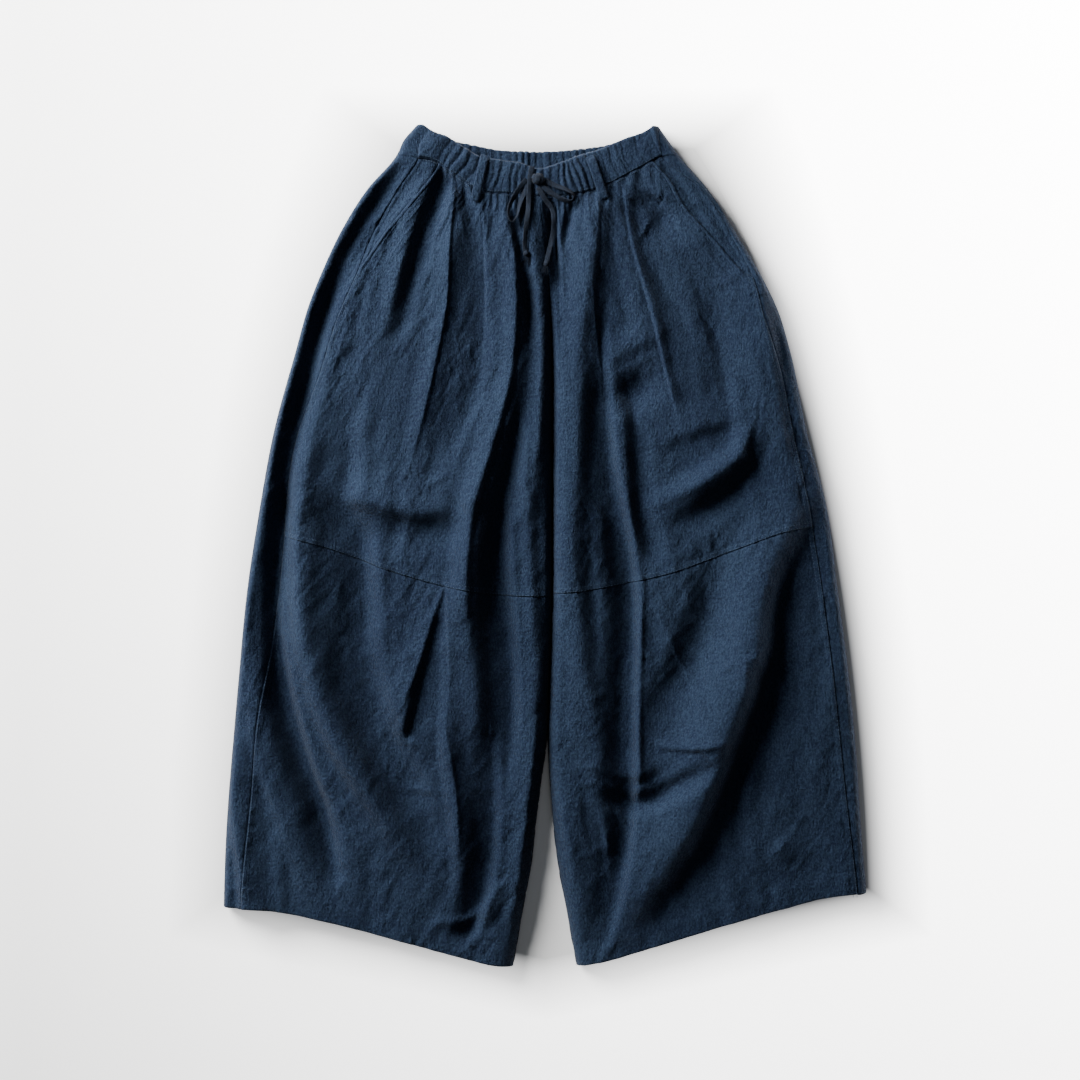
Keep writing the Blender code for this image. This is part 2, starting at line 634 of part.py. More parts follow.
def make_knot():
    """The flattened lump where the drawstring is tied."""
    x, y = np.array(KNOT, float) * MM
    half = np.array(KNOT_SIZE)
    centre = np.array([x, y, float(lie_on(x, y, half[2] + 0.4 * MM))])
    around, levels = 14, 7
    points = [centre + half * (0, 0, 1)]
    for level in range(1, levels):
        lift = np.pi * level / levels
        for k in range(around):
            turn = 2 * np.pi * k / around
            points.append(centre + half * (np.sin(lift) * np.cos(turn), np.sin(lift) * np.sin(turn), np.cos(lift)))
    points.append(centre - half * (0, 0, 1))
    last = len(points) - 1
    faces = []
    for k in range(around):
        after = (k + 1) % around
        faces.append((0, 1 + k, 1 + after))
        for level in range(levels - 2):
            row = 1 + level * around
            faces.append((row + k, row + around + k, row + around + after, row + after))
        faces.append((last, last - around + after, last - around + k))
    add_mesh("drawstring_knot", points, faces, DARK_NAVY)


def make_trousers():
    for side in SIDES:
        knee, half = knee_seam[side], SEAM_GAP / 2
        upper = make_front(side, "upper", moved(waist_seam, -WAIST_GAP), moved(knee, half), UPPER_ROWS)
        make_front(side, "lower", moved(knee, -half), hem[side], LOWER_ROWS)
        back = make_back(side)
        make_pocket_underlay(side, upper, back)
        make_belt_loop(side, BELT_LOOPS[side])
    make_waistband()
    make_knot()
    for name, path in DRAWSTRING.items():
        make_cord(f"drawstring_{name}", path)


for old in list(bpy.data.objects):
    bpy.data.objects.remove(old, do_unlink=True)
make_trousers()
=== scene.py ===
"""Wide hakama-style trousers of washed linen, laid flat with the front up, on a pale floor.

+X is to the right and +Y towards the waist as one looks down on the front. Tables are in millimetres.
Left and right are those of the person who looks down on the front.
"""

from collections import namedtuple
from math import pi

import bpy
import numpy as np
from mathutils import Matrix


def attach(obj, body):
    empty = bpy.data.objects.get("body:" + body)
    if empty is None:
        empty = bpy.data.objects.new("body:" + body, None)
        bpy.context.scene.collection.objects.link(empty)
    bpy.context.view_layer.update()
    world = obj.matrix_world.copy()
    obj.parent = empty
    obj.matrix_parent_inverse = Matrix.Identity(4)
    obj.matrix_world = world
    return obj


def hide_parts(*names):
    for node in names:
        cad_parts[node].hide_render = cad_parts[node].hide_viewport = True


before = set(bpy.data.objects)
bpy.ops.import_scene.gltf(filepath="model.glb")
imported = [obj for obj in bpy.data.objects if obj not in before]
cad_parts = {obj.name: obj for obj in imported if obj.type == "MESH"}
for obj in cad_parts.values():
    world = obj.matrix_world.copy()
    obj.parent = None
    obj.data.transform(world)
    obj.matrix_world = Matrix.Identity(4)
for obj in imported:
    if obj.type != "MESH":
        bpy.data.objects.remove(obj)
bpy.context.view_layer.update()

bl_info = {
    "name": "Wide linen trousers",
    "version": (1, 0, 0),
    "blender": (4, 5, 0),
    "location": "View3D > Sidebar > Trousers",
    "description": "Dresses the packed trousers with linen, gathers, folds, stitching and a drawstring",
    "category": "Object",
}

MM = 0.001

# Sizes of the cloth that its form depends on, in metres
EDGE_RISE = 6 * MM
LEAST_RISE = 4 * MM
OUTER_ROLL = 9 * MM
INNER_ROLL = 15 * MM
UNDER_ROLL = 9 * MM
CROTCH_Y = 110 * MM
CROTCH_EASE = 60 * MM
FLOOR_EASE = 2 * MM
GATHER_DEPTH = 3 * MM
POCKET_END = 312 * MM
POCKET_TURN = 7 * MM
SEAM_GAP = 0.35 * MM
LEAST_FLANK = 2 * MM

# The direction that counts as the shaded side of a fold, towards the lower right
SHADE_WAY = (1.0, -0.6)

# How far below the waist seam pleats and creases are full, and how the front gathers die out there
PLEAT_START = 32 * MM
CREASE_START = 14 * MM
LET_OUT_LENGTH = 26 * MM
LET_OUT_RISE = 1.9 * MM

# How wide each leg counts as when wrinkles are laid across it
LEG_MEASURE = 330 * MM

Section = namedtuple("Section", "y left right")
Fold = namedtuple("Fold", "name path rise lit shade crisp", defaults=(0.0,))
Strap = namedtuple("Strap", "top bottom width")
Cut = namedtuple("Cut", "width length area")

# The outline at a row of heights: how far out the cloth reaches on either side
OUTLINE = [
    Section(482, -148, 130),
    Section(466, -162, 141),
    Section(449, -170, 153),
    Section(409, -204, 187),
    Section(363, -233, 217),
    Section(317, -255, 244),
    Section(271, -273, 267),
    Section(225, -286, 281),
    Section(133, -311, 300),
    Section(41, -328, 324),
    Section(-51, -342, 336),
    Section(-143, -351, 348),
    Section(-235, -359, 357),
    Section(-327, -366, 363),
    Section(-413, -369, 370),
    Section(-480, -370, 372),
]

# The inner edge of either leg, which is the centre seam above the crotch
INNER = [
    Section(480, -8, -8),
    Section(402, -6, -6),
    Section(328, 2, 2),
    Section(248, 7, 7),
    Section(180, 8, 8),
    Section(130, 8, 8),
    Section(80, 8.2, 8.2),
    Section(-51, 7.9, 7.9),
    Section(-109, 6.4, 6.4),
    Section(-178, 3.7, 3.7),
    Section(-214, 2.7, 2.9),
    Section(-235, 0.6, 3.4),
    Section(-270, -4.6, 5.2),
    Section(-293, -7.5, 7),
    Section(-327, -11.5, 10.4),
    Section(-362, -15.5, 14.5),
    Section(-420, -26, 25),
    Section(-490, -38, 38),
]

# Where the back wraps over to meet the front
SIDE_SEAM = [
    Section(482, -143, 128),
    Section(443, -145, 136),
    Section(410, -167, 178),
    Section(350, -201, 216),
    Section(310, -216, 236),
    Section(259, -238, 250),
    Section(202, -256, 268),
    Section(121, -286, 285),
    Section(52, -297, 300),
    Section(-17, -302, 312),
    Section(-120, -315, 326),
    Section(-201, -328, 335),
    Section(-293, -336, 345),
    Section(-385, -345, 356),
    Section(-470, -350, 364),
]

# The slanted pocket mouths, from the waist seam down to the side seam
POCKET_MOUTH = [
    Section(443, -118, 120),
    Section(425, -128, 138),
    Section(387, -159, 161),
    Section(351, -189, 193),
    Section(312, -215, 226),
]

# Lines across the garment, as (x, y)
BAND_TOP = [
    (-175, 460), (-158, 473), (-152, 479), (-147, 482), (-141, 481), (-126, 471.5), (-109, 465), (-95, 456),
    (-75, 444), (-52, 440), (-28, 436.5), (-7, 430), (18, 437), (40, 445), (63, 452), (86, 462), (112, 472),
    (128, 480), (133, 480.5), (142, 476), (160, 470),
]
BACK_BAND_TOP = [
    (-175, 460), (-158, 473), (-152, 479), (-147, 482), (-141, 481), (-126, 472), (-109, 465.5), (-90, 461),
    (-52, 454), (-6, 452), (40, 455), (86, 463), (112, 472), (128, 480), (133, 480.5), (142, 476),
    (160, 470),
]
WAIST_SEAM = [
    (-180, 449), (-145, 444), (-127, 440), (-104, 425), (-75, 406), (-40, 402), (-6, 400), (29, 401),
    (63, 409), (109, 432), (136, 446), (160, 448),
]
BACK_WAIST_SEAM = [
    (-180, 449), (-145, 444), (-95, 428), (-52, 420), (-6, 418), (40, 421), (92, 431), (136, 446),
    (160, 448),
]
KNEE_SEAM = {
    "left": [(-310, 13), (-247, -4), (-178, -29), (-115, -47), (-52, -57), (20, -59)],
    "right": [(-5, -56), (40, -53), (86, -45), (144, -32), (213, -7), (282, 17), (330, 23)],
}
HEM = {
    "left": [(-380, -412), (-317, -417), (-247, -431), (-178, -449), (-109, -468), (-60, -480), (-30, -483)],
    "right": [(20, -484), (63, -477), (132, -457), (201, -436), (270, -416), (316, -404), (385, -395)],
}
# How much further the back's hem reaches than the front's
BACK_HEM_DROP = {
    "left": [(-380, 0.5), (-30, 0.5)],
    "right": [(20, 0.5), (130, 1), (230, 4), (310, 1), (385, 0.5)],
}

# How high the front stands over the floor between its edges, as (y, height)
LOFT = [(483, 18), (440, 19), (400, 20), (330, 22), (200, 25), (0, 27), (-200, 26), (-400, 23), (-490, 21)]

# How far the front sinks along its centre seam and inseams, from 0 to 1 (in thousandths), as (y, share)
SINK = [(483, 0), (400, 0), (330, 300), (260, 650), (170, 850), (110, 1000), (-490, 1000)]

# Folds and pleats. A path is its crest as (x, y), with a rise at each of its points. lit and shade
# are how wide the flanks are on the upper left and on the lower right of the crest.
FOLDS = {
    "left": [
        Fold("side_trough", ((-155, 427), (-209, 346), (-253, 259), (-287, 121), (-303, 0), (-306, -109),
            (-298, -195), (-262, -300), (-245, -373)), (-4, -8, -10, -12, -13, -12, -10, -8, -3), 20, 24),
        Fold("front_ridge", ((-28, 386), (-23, 282), (-35, 167), (-72, 52), (-87, -60), (-80, -178),
            (-63, -270)), (4, 7, 10, 12, 12, 8, 2), 28, 24),
        Fold("centre_ridge", ((-8, 351), (-3, 250), (-7, 140), (-17, 40), (-14, -80), (-10, -180)),
            (2, 5, 6, 6, 5, 1), 16, 14),
        Fold("inner_valley", ((-15, 300), (-20, 190), (-39, 90), (-52, 0), (-56, -80)),
            (-4, -7, -8, -8, -3), 16, 16),
        Fold("belt_loop_pleat", ((-74, 397), (-66, 330), (-66, 260), (-72, 190)), (2, 3, 2, 0), 7, 20),
        Fold("waist_pleat", ((-104, 397), (-110, 320), (-121, 225), (-139, 144), (-158, 70)),
            (5, 6, 5, 4, 1), 22, 26),
        Fold("pocket_ridge", ((-139, 409), (-158, 350), (-175, 282), (-190, 225)), (4, 6, 5, 1), 20, 17),
        Fold("thigh_sag", ((-247, 62), (-200, 52), (-150, 41), (-95, 47)), (2, 6, 6, 3), 45, 20),
        Fold("side_ridge", ((-282, 121), (-279, 0), (-272, -100), (-240, -210), (-201, -293), (-164, -362)),
            (2, 7, 9, 8, 5, 1), 22, 34),
        Fold("low_ridge", ((-338, -170), (-325, -235), (-309, -285), (-291, -335), (-274, -392)),
            (1, 5, 6, 5, 1), 14, 26),
        Fold("knee_pleat", ((-116, -53), (-142, -137), (-162, -200), (-171, -230)), (2, 6, 7, 1), 36, 12),
        Fold("knee_underlay", ((-113, -63), (-110, -160), (-112, -235), (-100, -327), (-97, -395)),
            (3, 5, 8, 9, 3), 14, 26),
        Fold("hem_dent", ((-115, -438), (-85, -430), (-58, -398)), (-2, -6, -2), 12, 16),
    ],
    "right": [
        Fold("centre_ridge", ((60, 397), (56, 320), (45, 225), (34, 90), (32, -20), (42, -120), (58, -247)),
            (5, 7, 9, 10, 10, 8, 3), 34, 22),
        Fold("thigh_ridge", ((77, 195), (88, 140), (95, 52), (102, 0)), (2, 8, 7, 1), 22, 16),
        Fold("waist_pleat", ((89, 423), (100, 345), (121, 271), (141, 185), (153, 140)), (3, 4, 4, 4, 0),
            36, 12),
        Fold("hip_dent", ((95, 412), (120, 395), (142, 400)), (-1, -4, -1), 14, 14),
        Fold("upper_sag", ((72, 211), (100, 229), (127, 240)), (2, 5, 2), 30, 16),
        Fold("thigh_sag", ((127, 116), (175, 136), (219, 150)), (2, 6, 2), 40, 16),
        Fold("diagonal", ((132, 39), (178, 67), (222, 101), (238, 147)), (2, 12, 11, 2), 30, 24),
        Fold("knee_sweep", ((286, 52), (272, 10), (244, -60), (237, -120), (201, -224), (162, -321),
            (113, -400), (92, -436)), (3, 9, 14, 17, 19, 17, 11, 3), 62, 32),
        Fold("knee_pleat", ((112, -48), (105, -150), (106, -235), (108, -262)), (2, 5, 5, 2), 22, 8),
        Fold("pleat_foot", ((69, -258), (100, -262), (135, -247)), (2, 6, 2), 34, 12),
        Fold("shin_step", ((132, -229), (167, -229), (199, -226)), (1, 4, 1), 28, 9),
        Fold("inner_ridge", ((22, -262), (28, -330), (42, -410)), (2, 6, 2), 14, 26),
        Fold("low_ridge", ((68, -300), (72, -344), (76, -380)), (1, 5, 1), 9, 12),
    ],
}

# x of each hollow between one gather and the next, along the middle of the waistband
FRONT_GATHERS = [
    -143, -117, -110, -102, -92, -82, -69, -60, -53, -38, -31, -22, -10, 0, 8, 18, 24, 30, 36, 44, 55, 69,
    77, 92, 109, 126, 134,
]
BACK_GATHERS = [
    -139, -131, -112, -103, -93, -85, -75, -67, -59, -50, -38, -31, -24, -18, -10, -2, 7, 14, 22, 31, 38,
    46, 54, 61, 69, 80, 92, 106, 120, 130,
]

BELT_LOOPS = {
    "left": Strap((-69, 444), (-80, 395), 9.2),
    "right": Strap((52, 443), (67, 398), 10),
}

KNOT = (-8, 418)
DRAWSTRING = {
    "loop_left": [
        (-21, 418), (-30, 407), (-39, 391), (-42, 378), (-38, 369), (-32, 376), (-28, 392), (-19, 411),
    ],
    "loop_right": [(0, 417), (11, 411), (24, 406), (33, 400), (30, 393), (18, 396), (8, 402), (-3, 410)],
    "tail_left": [(-15, 433), (-17, 420), (-18, 402), (-19, 384), (-21, 366), (-23, 345), (-21, 330)],
    "tail_right": [(-8, 409), (0, 396), (9, 383), (10, 362), (5, 338), (1, 319)],
}

# Creases and small folds that only the cloth itself shows
CREASES = {
    "left": [
        Fold("crotch_pull", ((-112, 58), (-98, 44), (-88, 30)), (0, -3, 0), 6, 9, 0.7),
        Fold("thigh_nick_a", ((-168, 68), (-160, 80), (-152, 93)), (0, 2.5, 0), 7, 4, 1),
        Fold("thigh_nick_b", ((-146, 62), (-122, 74), (-100, 84)), (0, 3, 0), 9, 5, 1),
        Fold("sag_hollow", ((-247, 26), (-190, 14), (-120, 12), (-84, 32)), (-2, -5, -4, -1), 26, 34),
        Fold("outer_flank", ((-230, 180), (-226, 100), (-228, 50), (-214, 0), (-208, -55), (-207, -120),
            (-194, -180), (-172, -235), (-146, -290), (-124, -350)),
            (-2, -9, -10, -14, -16, -15, -13, -12, -10, -2), 46, 26),
        Fold("sag_rise", ((-240, 60), (-200, 50), (-150, 37), (-105, 34)), (1, 3, 3.5, 1.5), 24, 15),
        Fold("bow_hollow", ((-40, 392), (-35, 372), (-29, 345), (-22, 310), (-18, 270), (-16, 225)),
            (-3, -6, -6, -8, -8, -1), 9, 12),
        Fold("pocket_hollow", ((-112, 430), (-120, 405), (-140, 350), (-156, 292), (-172, 240)),
            (-11, -12, -9, -6, -1), 16, 18),
        Fold("side_fall", ((-168, 434), (-192, 396), (-228, 343), (-251, 284), (-279, 167), (-299, 52),
            (-311, -63), (-304, -130), (-290, -190), (-275, -245), (-256, -305), (-240, -380)),
            (-6, -11, -11, -10, -9, -8, -9, -11, -13, -13, -11, -4), 34, 14),
        Fold("hem_roll", ((-356, -240), (-354, -290), (-348, -340), (-343, -380), (-341, -415)),
            (2, 6, 9, 10, 11), 14, 34),
        Fold("edge_lift", ((-170, 444), (-201, 411), (-231, 365), (-253, 319), (-271, 273), (-283, 225),
            (-305, 133), (-321, 41), (-335, -51)), (4, 9, 9, 8, 6, 5, 4, 2, 0), 5, 28),
        Fold("side_hollow", ((-298, 60), (-296, 10), (-292, -40)), (-1, -3, -1), 10, 12),
        Fold("inner_hollow", ((-20, 290), (-30, 167), (-46, 110), (-54, 52), (-50, -5), (-46, -63),
            (-42, -120), (-40, -178), (-44, -250), (-52, -295)),
            (-1, -3, -5, -6, -9, -13, -14, -12, -7, -1), 38, 16),
        Fold("low_hollow", ((-63, -224), (-61, -293), (-64, -350), (-74, -400), (-84, -438)),
            (-5, -10, -12, -13, -11), 28, 14),
        Fold("pleat_edge_a", ((-102, 412), (-108, 351), (-111, 282), (-121, 225), (-139, 144), (-161, 64)),
            (1.5, 3, 3, 3, 2.5, 0), 16, 3, 0.9),
        Fold("pleat_hollow_a", ((-88, 405), (-80, 351), (-73, 282), (-76, 200), (-102, 125), (-122, 92)),
            (-2.5, -2.5, -4, -5, -5, -1), 26, 16),
        Fold("loop_hollow", ((-98, 420), (-90, 400), (-86, 375)), (-6, -6, -1), 14, 8),
        Fold("ridge_rise", ((-42, 392), (-34, 282), (-41, 190), (-62, 110), (-80, 50), (-88, 0), (-90, -60),
            (-86, -110)), (3, 7, 8, 8, 7, 6, 5, 1), 27, 8),
        Fold("thigh_light", ((-98, 40), (-100, -10), (-102, -70), (-108, -130)), (0, 3, 3, 0), 16, 18),
        Fold("centre_rise", ((-16, 270), (-19, 180), (-24, 100), (-24, 30)), (0, 3, 4, 1), 14, 10),
        Fold("inner_rise", ((-14, -150), (-12, -220), (-20, -300), (-30, -380), (-36, -430)),
            (0, 4, 5, 5, 2), 18, 8),
        Fold("low_shin_hollow", ((-262, -270), (-246, -320), (-236, -372)), (-1, -6, -3), 20, 16),
        Fold("pleat_line_b", ((-75, 400), (-71, 355), (-70, 310), (-70, 250), (-76, 167)),
            (-1, -1.6, -1.6, -1.2, 0), 2.6, 3, 0.5),
        Fold("knee_edge", ((-116, -51), (-130, -91), (-144, -137), (-155, -166), (-169, -203)),
            (2, 3, 3, 2.5, 0), 11, 2.5, 0.8),
        Fold("knee_lip", ((-112, -52), (-111, -97), (-109, -155), (-112, -200)), (2.5, 3, 2, 0), 2.5, 16,
            0.7),
        Fold("side_rise", ((-284, 121), (-281, 0), (-275, -105), (-264, -166), (-238, -224), (-207, -270),
            (-180, -310), (-150, -356)), (2, 4, 6, 8, 9, 9, 8, 3), 20, 32),
        Fold("knee_slit", ((-117, -60), (-131, -110), (-147, -160), (-158, -214)), (-1, -3, -5, -4), 3, 11),
        Fold("knee_line", ((-113, -205), (-107, -240), (-99, -300), (-96, -370)), (0, 3, 3, 0), 10, 3, 0.8),
        Fold("shin_pull_a", ((-190, -276), (-140, -280), (-86, -282)), (0, 2, 0), 8, 6, 0.5),
        Fold("shin_pull_b", ((-166, -222), (-150, -226), (-134, -232)), (0, 2.5, 0), 10, 7, 0.4),
        Fold("hem_hook", ((-118, -430), (-92, -430), (-68, -412), (-52, -388)), (3, 9, 10, 5), 10, 20, 0.2),
        Fold("pocket_pull", ((-206, 312), (-196, 300), (-170, 280)), (2, 1.5, 0), 7, 6, 0.5),
    ],
    "right": [
        Fold("bow_hollow", ((6, 398), (8, 372), (10, 340), (12, 305), (14, 270)), (-6, -12, -13, -10, -2),
            14, 9),
        Fold("bow_side_hollow", ((32, 395), (27, 370), (22, 342)), (-3, -7, -2), 8, 9),
        Fold("overlap_edge", ((13, 350), (13, 282), (16, 170), (15, 60), (12, -20), (9, -75)),
            (0, 2.5, 2, 2.5, 2, 0), 7, 3, 1),
        Fold("waist_wrinkle", ((110, 408), (134, 398), (146, 400)), (1, 3, 1), 9, 6, 0.4),
        Fold("waist_hollow", ((118, 384), (134, 376), (150, 380)), (-5, -10, -4), 26, 44),
        Fold("hip_pull", ((226, 316), (205, 300), (172, 292)), (2, 1.5, 0), 7, 6, 0.5),
        Fold("ridge_rise", ((54, 385), (48, 320), (43, 262), (36, 200)), (3, 5, 5, 1), 28, 12),
        Fold("inner_hollow", ((64, 310), (66, 200), (72, 110), (82, 52), (93, -5), (98, -63), (99, -120),
            (98, -178), (96, -262), (93, -330), (82, -400), (68, -450)),
            (-2, -5, -9, -12, -17, -18, -18, -17, -15, -14, -12, -4), 36, 12),
        Fold("second_hollow", ((95, 150), (102, 100), (108, 52), (120, 0), (124, -22)),
            (-1, -4, -5, -5, -1), 18, 24),
        Fold("pleat_edge_a", ((89, 424), (92, 397), (101, 340), (121, 271), (141, 185), (153, 139)),
            (0.8, 1.2, 1.6, 2, 2, 0), 2.5, 20, 0.8),
        Fold("pleat_groove_a", ((86, 420), (89, 397), (98, 340), (118, 271), (138, 185), (150, 139)),
            (-0.8, -0.8, -1, -1.4, -1.6, 0), 6, 3, 0.7),
        Fold("pleat_edge_b", ((62, 405), (60, 346), (55, 290), (63, 202), (68, 133)), (1, 3, 3, 2, 0), 14,
            3, 0.9),
        Fold("upper_hollow", ((76, 175), (95, 175), (112, 184), (126, 197)), (-4, -10, -10, -3), 28, 36),
        Fold("hip_rise", ((238, 325), (244, 290), (253, 236), (259, 190), (269, 133), (284, 75)),
            (3, 9, 11, 9, 6, 3), 42, 18),
        Fold("hip_hollow", ((184, 328), (195, 259), (203, 190), (195, 156)), (-2, -5, -5, -2), 30, 24),
        Fold("diagonal_rise", ((125, 46), (178, 72), (220, 104), (238, 150)), (2, 4, 4, 2), 20, 10),
        Fold("diagonal_hollow", ((150, 20), (190, 42), (228, 78), (246, 120)), (-1, -5, -5, -1), 22, 24),
        Fold("knee_edge", ((113, -44), (110, -87), (106, -155), (106, -224), (109, -252)),
            (0.8, 1, 1.2, 1, 0), 12, 2.5, 0.8),
        Fold("knee_fan", ((114, -46), (132, -86), (150, -126), (158, -143), (172, -174), (184, -205),
            (199, -232)), (0, 1.6, 1.8, 1.2, 1.8, 1.6, 0), 2.5, 16, 0.8),
        Fold("sweep_nick", ((224, -120), (227, -140), (224, -157)), (0, 2, 0), 5, 4, 0.8),
        Fold("sweep_cross", ((169, -160), (203, -140), (238, -126), (264, -97)), (0, 1.8, 2, 0), 8, 4, 0.9),
        Fold("sweep_line", ((201, -163), (229, -139), (247, -115)), (0, 1.8, 0), 8, 4, 0.9),
        Fold("shin_edge", ((132, -231), (165, -232), (199, -227)), (2, 4, 3), 12, 3, 0.7),
        Fold("sweep_rise", ((300, 66), (276, 18), (247, -60), (239, -120), (202, -224), (164, -321),
            (114, -400)), (1, 3, 6, 7.5, 7, 4, 0), 54, 27),
        Fold("side_drape_a", ((299, -318), (270, -344), (253, -371)), (0, 3, 0), 12, 22),
        Fold("side_drape_b", ((253, -206), (240, -260), (227, -315)), (0, 3.5, 0), 16, 12, 0.3),
        Fold("side_drape_c", ((330, -120), (318, -200), (312, -300)), (0, 3, 0), 16, 16),
        Fold("foot_curve", ((23, -275), (52, -272), (64, -262)), (0, 2, 0), 6, 5, 0.8),
        Fold("foot_shadow", ((72, -290), (109, -295), (141, -281), (178, -258), (196, -244)),
            (-5, -10, -10, -8, -2), 18, 18),
        Fold("sweep_hollow", ((318, 20), (292, -30), (280, -90), (268, -150), (238, -236), (206, -330),
            (146, -410)), (-3, -4, -5, -6, -6, -5, -2), 42, 46),
        Fold("sweep_front", ((190, -20), (188, -62), (172, -110), (144, -165), (130, -205)),
            (-3, -9, -10, -8, -2), 30, 46),
    ],
}

# Columns and rows of the fine panels, about how wide and long the panels are, and the rows at a seam
FINE_X = 1.7 * MM
FINE_Y = 3.2 * MM
FRONT_WIDTH = 290 * MM
UPPER_LENGTH = 450 * MM
LOWER_LENGTH = 420 * MM
BACK_LENGTH = 920 * MM
NEAR_SEAM = (0.0, 0.8 * MM, 1.7 * MM, 3.0 * MM)
TUCK = 0.8 * MM

# How many columns go round an edge, and how many columns and rows the smaller parts have
EDGE_COLUMNS = 6
INSEAM_COLUMNS = 12
UNDER_COLUMNS = 9
FLANK_COLUMNS = 12
WRAP_COLUMNS = 8
FRONT_BAND_COLUMNS = 254
FRONT_BAND_ROWS = 34
BACK_BAND_COLUMNS = 250
BACK_BAND_ROWS = 26
UNDERLAY_COLUMNS = 34
UNDERLAY_ROWS = 46
LOOP_COLUMNS = 9
LOOP_ROWS = 34

# How often a grid's x and y are worked out from each other, and how far a sheet's rim stands out
SETTLING_ROUNDS = 30
EDGE_BULGE = 0.45

# The pocket underlays: how far past the seam and the mouth, how low down and how deep they lie
UNDERLAY_PAST_SEAM = 5 * MM
UNDERLAY_PAST_MOUTH = 16 * MM
UNDERLAY_END = 304 * MM
UNDERLAY_DEPTH = 1.3 * MM

# The belt loops: the share turned in past either end, and their thickness
LOOP_TURN_IN = 0.03
LOOP_THICKNESS = 1.3 * MM

# Where the back band's gathers begin and end, and how fast they fade there
BACK_GATHERS_FROM = -152 * MM
BACK_GATHERS_TO = 142 * MM
GATHER_FADE = 20 * MM

# How far the front band's gathers lean, as (x, shift of x for each mm up), and how high they puff
GATHER_LEAN = [
    (-150, 0.55), (-115, 0.5), (-85, 0.42), (-35, 0.2), (0, 0), (25, -0.2), (52, -0.42), (69, -0.3),
    (140, -0.5),
]
BAND_PUFF = 5 * MM

# How far the second stitching runs from its seam, and the hem's from its edge
KNEE_STITCH = 5.6 * MM
SIDE_STITCH = 6 * MM
MOUTH_STITCH = 5 * MM
HEM_DEPTH = 24 * MM

# A stitched run of fewer points than this is smoothed first, as if it were a path in millimetres
SHORT_RUN = 40

# Curves through the tables


def between(t, start, end, leaving, arriving):
    """A smooth curve from start to end as t goes from 0 to 1, with its slope at either end."""
    first = (1 + 2 * t) * (1 - t) ** 2 * start + t * (1 - t) ** 2 * leaving
    return first + t * t * (3 - 2 * t) * end + t * t * (t - 1) * arriving


def through(points):
    """A smooth function through (where, value) pairs in millimetres, in metres."""
    where, value = np.array(sorted(points), float).T * MM
    slope = np.gradient(value, where)

    def at(s):
        s = np.clip(s, where[0], where[-1])
        i = np.clip(np.searchsorted(where, s) - 1, 0, len(where) - 2)
        step = where[i + 1] - where[i]
        t = (s - where[i]) / step
        return between(t, value[i], value[i + 1], step * slope[i], step * slope[i + 1])

    return at


def edge_of(sections, side):
    """x as a function of y along one side of a table of sections."""
    return through([(s.y, s.left if side == "left" else s.right) for s in sections])


SIDES = ("left", "right")
OUTWARD = {"left": -1.0, "right": 1.0}
outline = {side: edge_of(OUTLINE, side) for side in SIDES}
inner = {side: edge_of(INNER, side) for side in SIDES}
side_seam = {side: edge_of(SIDE_SEAM, side) for side in SIDES}
pocket_mouth = {side: edge_of(POCKET_MOUTH, side) for side in SIDES}
knee_seam = {side: through(KNEE_SEAM[side]) for side in SIDES}
hem = {side: through(HEM[side]) for side in SIDES}
hem_drop = {side: through(BACK_HEM_DROP[side]) for side in SIDES}
band_top = through(BAND_TOP)
back_band_top = through(BACK_BAND_TOP)
waist_seam = through(WAIST_SEAM)
back_waist_seam = through(BACK_WAIST_SEAM)
loft = through(LOFT)
sink = through(SINK)


def front_edge(side):
    """The front's outer edge: the pocket mouth, then the side seam below it."""

    def at(y):
        past = eased((POCKET_END - y) / POCKET_TURN)
        return pocket_mouth[side](y) * (1 - past) + side_seam[side](y) * past

    return at


def moved(line, by):
    """A line across the garment, moved along y."""
    return lambda x: line(x) + by


def dropped(side):
    """The hem of the back, which shows a little past the front's."""
    return lambda x: hem[side](x) - hem_drop[side](x)


# The height of the front over the floor


def smooth_path(path, steps=8):
    """Points along a smooth curve through a path's own points, with their place along it."""
    p = np.array(path, float) * MM
    tangent = np.gradient(p, axis=0)
    points, places = [], []
    for i in range(len(p) - 1):
        for t in np.arange(steps) / steps:
            points.append(between(t, p[i], p[i + 1], tangent[i], tangent[i + 1]))
            places.append(i + t)
    return np.array(points + [p[-1]]), np.array(places + [len(p) - 1.0])


def fold_height(fold, x, y):
    """What one fold adds at each point: full at its crest, nothing past its flanks."""
    line, place = smooth_path(fold.path)
    reach = max(max(fold.lit, fold.shade) * MM, LEAST_FLANK)
    x, y = np.broadcast_arrays(x, y)
    low, high = line.min(0) - reach, line.max(0) + reach
    near = (x > low[0]) & (x < high[0]) & (y > low[1]) & (y < high[1])
    added = np.zeros(x.shape)
    q = np.stack([x[near], y[near]], -1)[:, None]
    if not len(q):
        return added
    a, d = line[:-1], np.diff(line, axis=0)
    t = np.clip(((q - a) * d).sum(-1) / (d * d).sum(-1), 0, 1)
    offset = q - a - t[..., None] * d
    away = np.linalg.norm(offset, axis=-1)
    n, k = np.arange(len(q)), away.argmin(1)
    across = np.stack([-d[k, 1], d[k, 0]], -1)
    across *= np.sign(across @ np.array(SHADE_WAY))[:, None]
    in_shade = (offset[n, k] * across).sum(-1) > 0
    flank = np.maximum(np.where(in_shade, fold.shade, fold.lit) * MM, LEAST_FLANK)
    fall = np.clip(away[n, k] / flank, 0, 1)
    along = place[k] + t[n, k] * (place[k + 1] - place[k])
    rise = np.interp(along, np.arange(len(fold.rise)), np.array(fold.rise, float) * MM)
    added[near] = rise * (1 - fall) ** 2 * (1 + 2 * fall * (1 - fold.crisp))
    return added


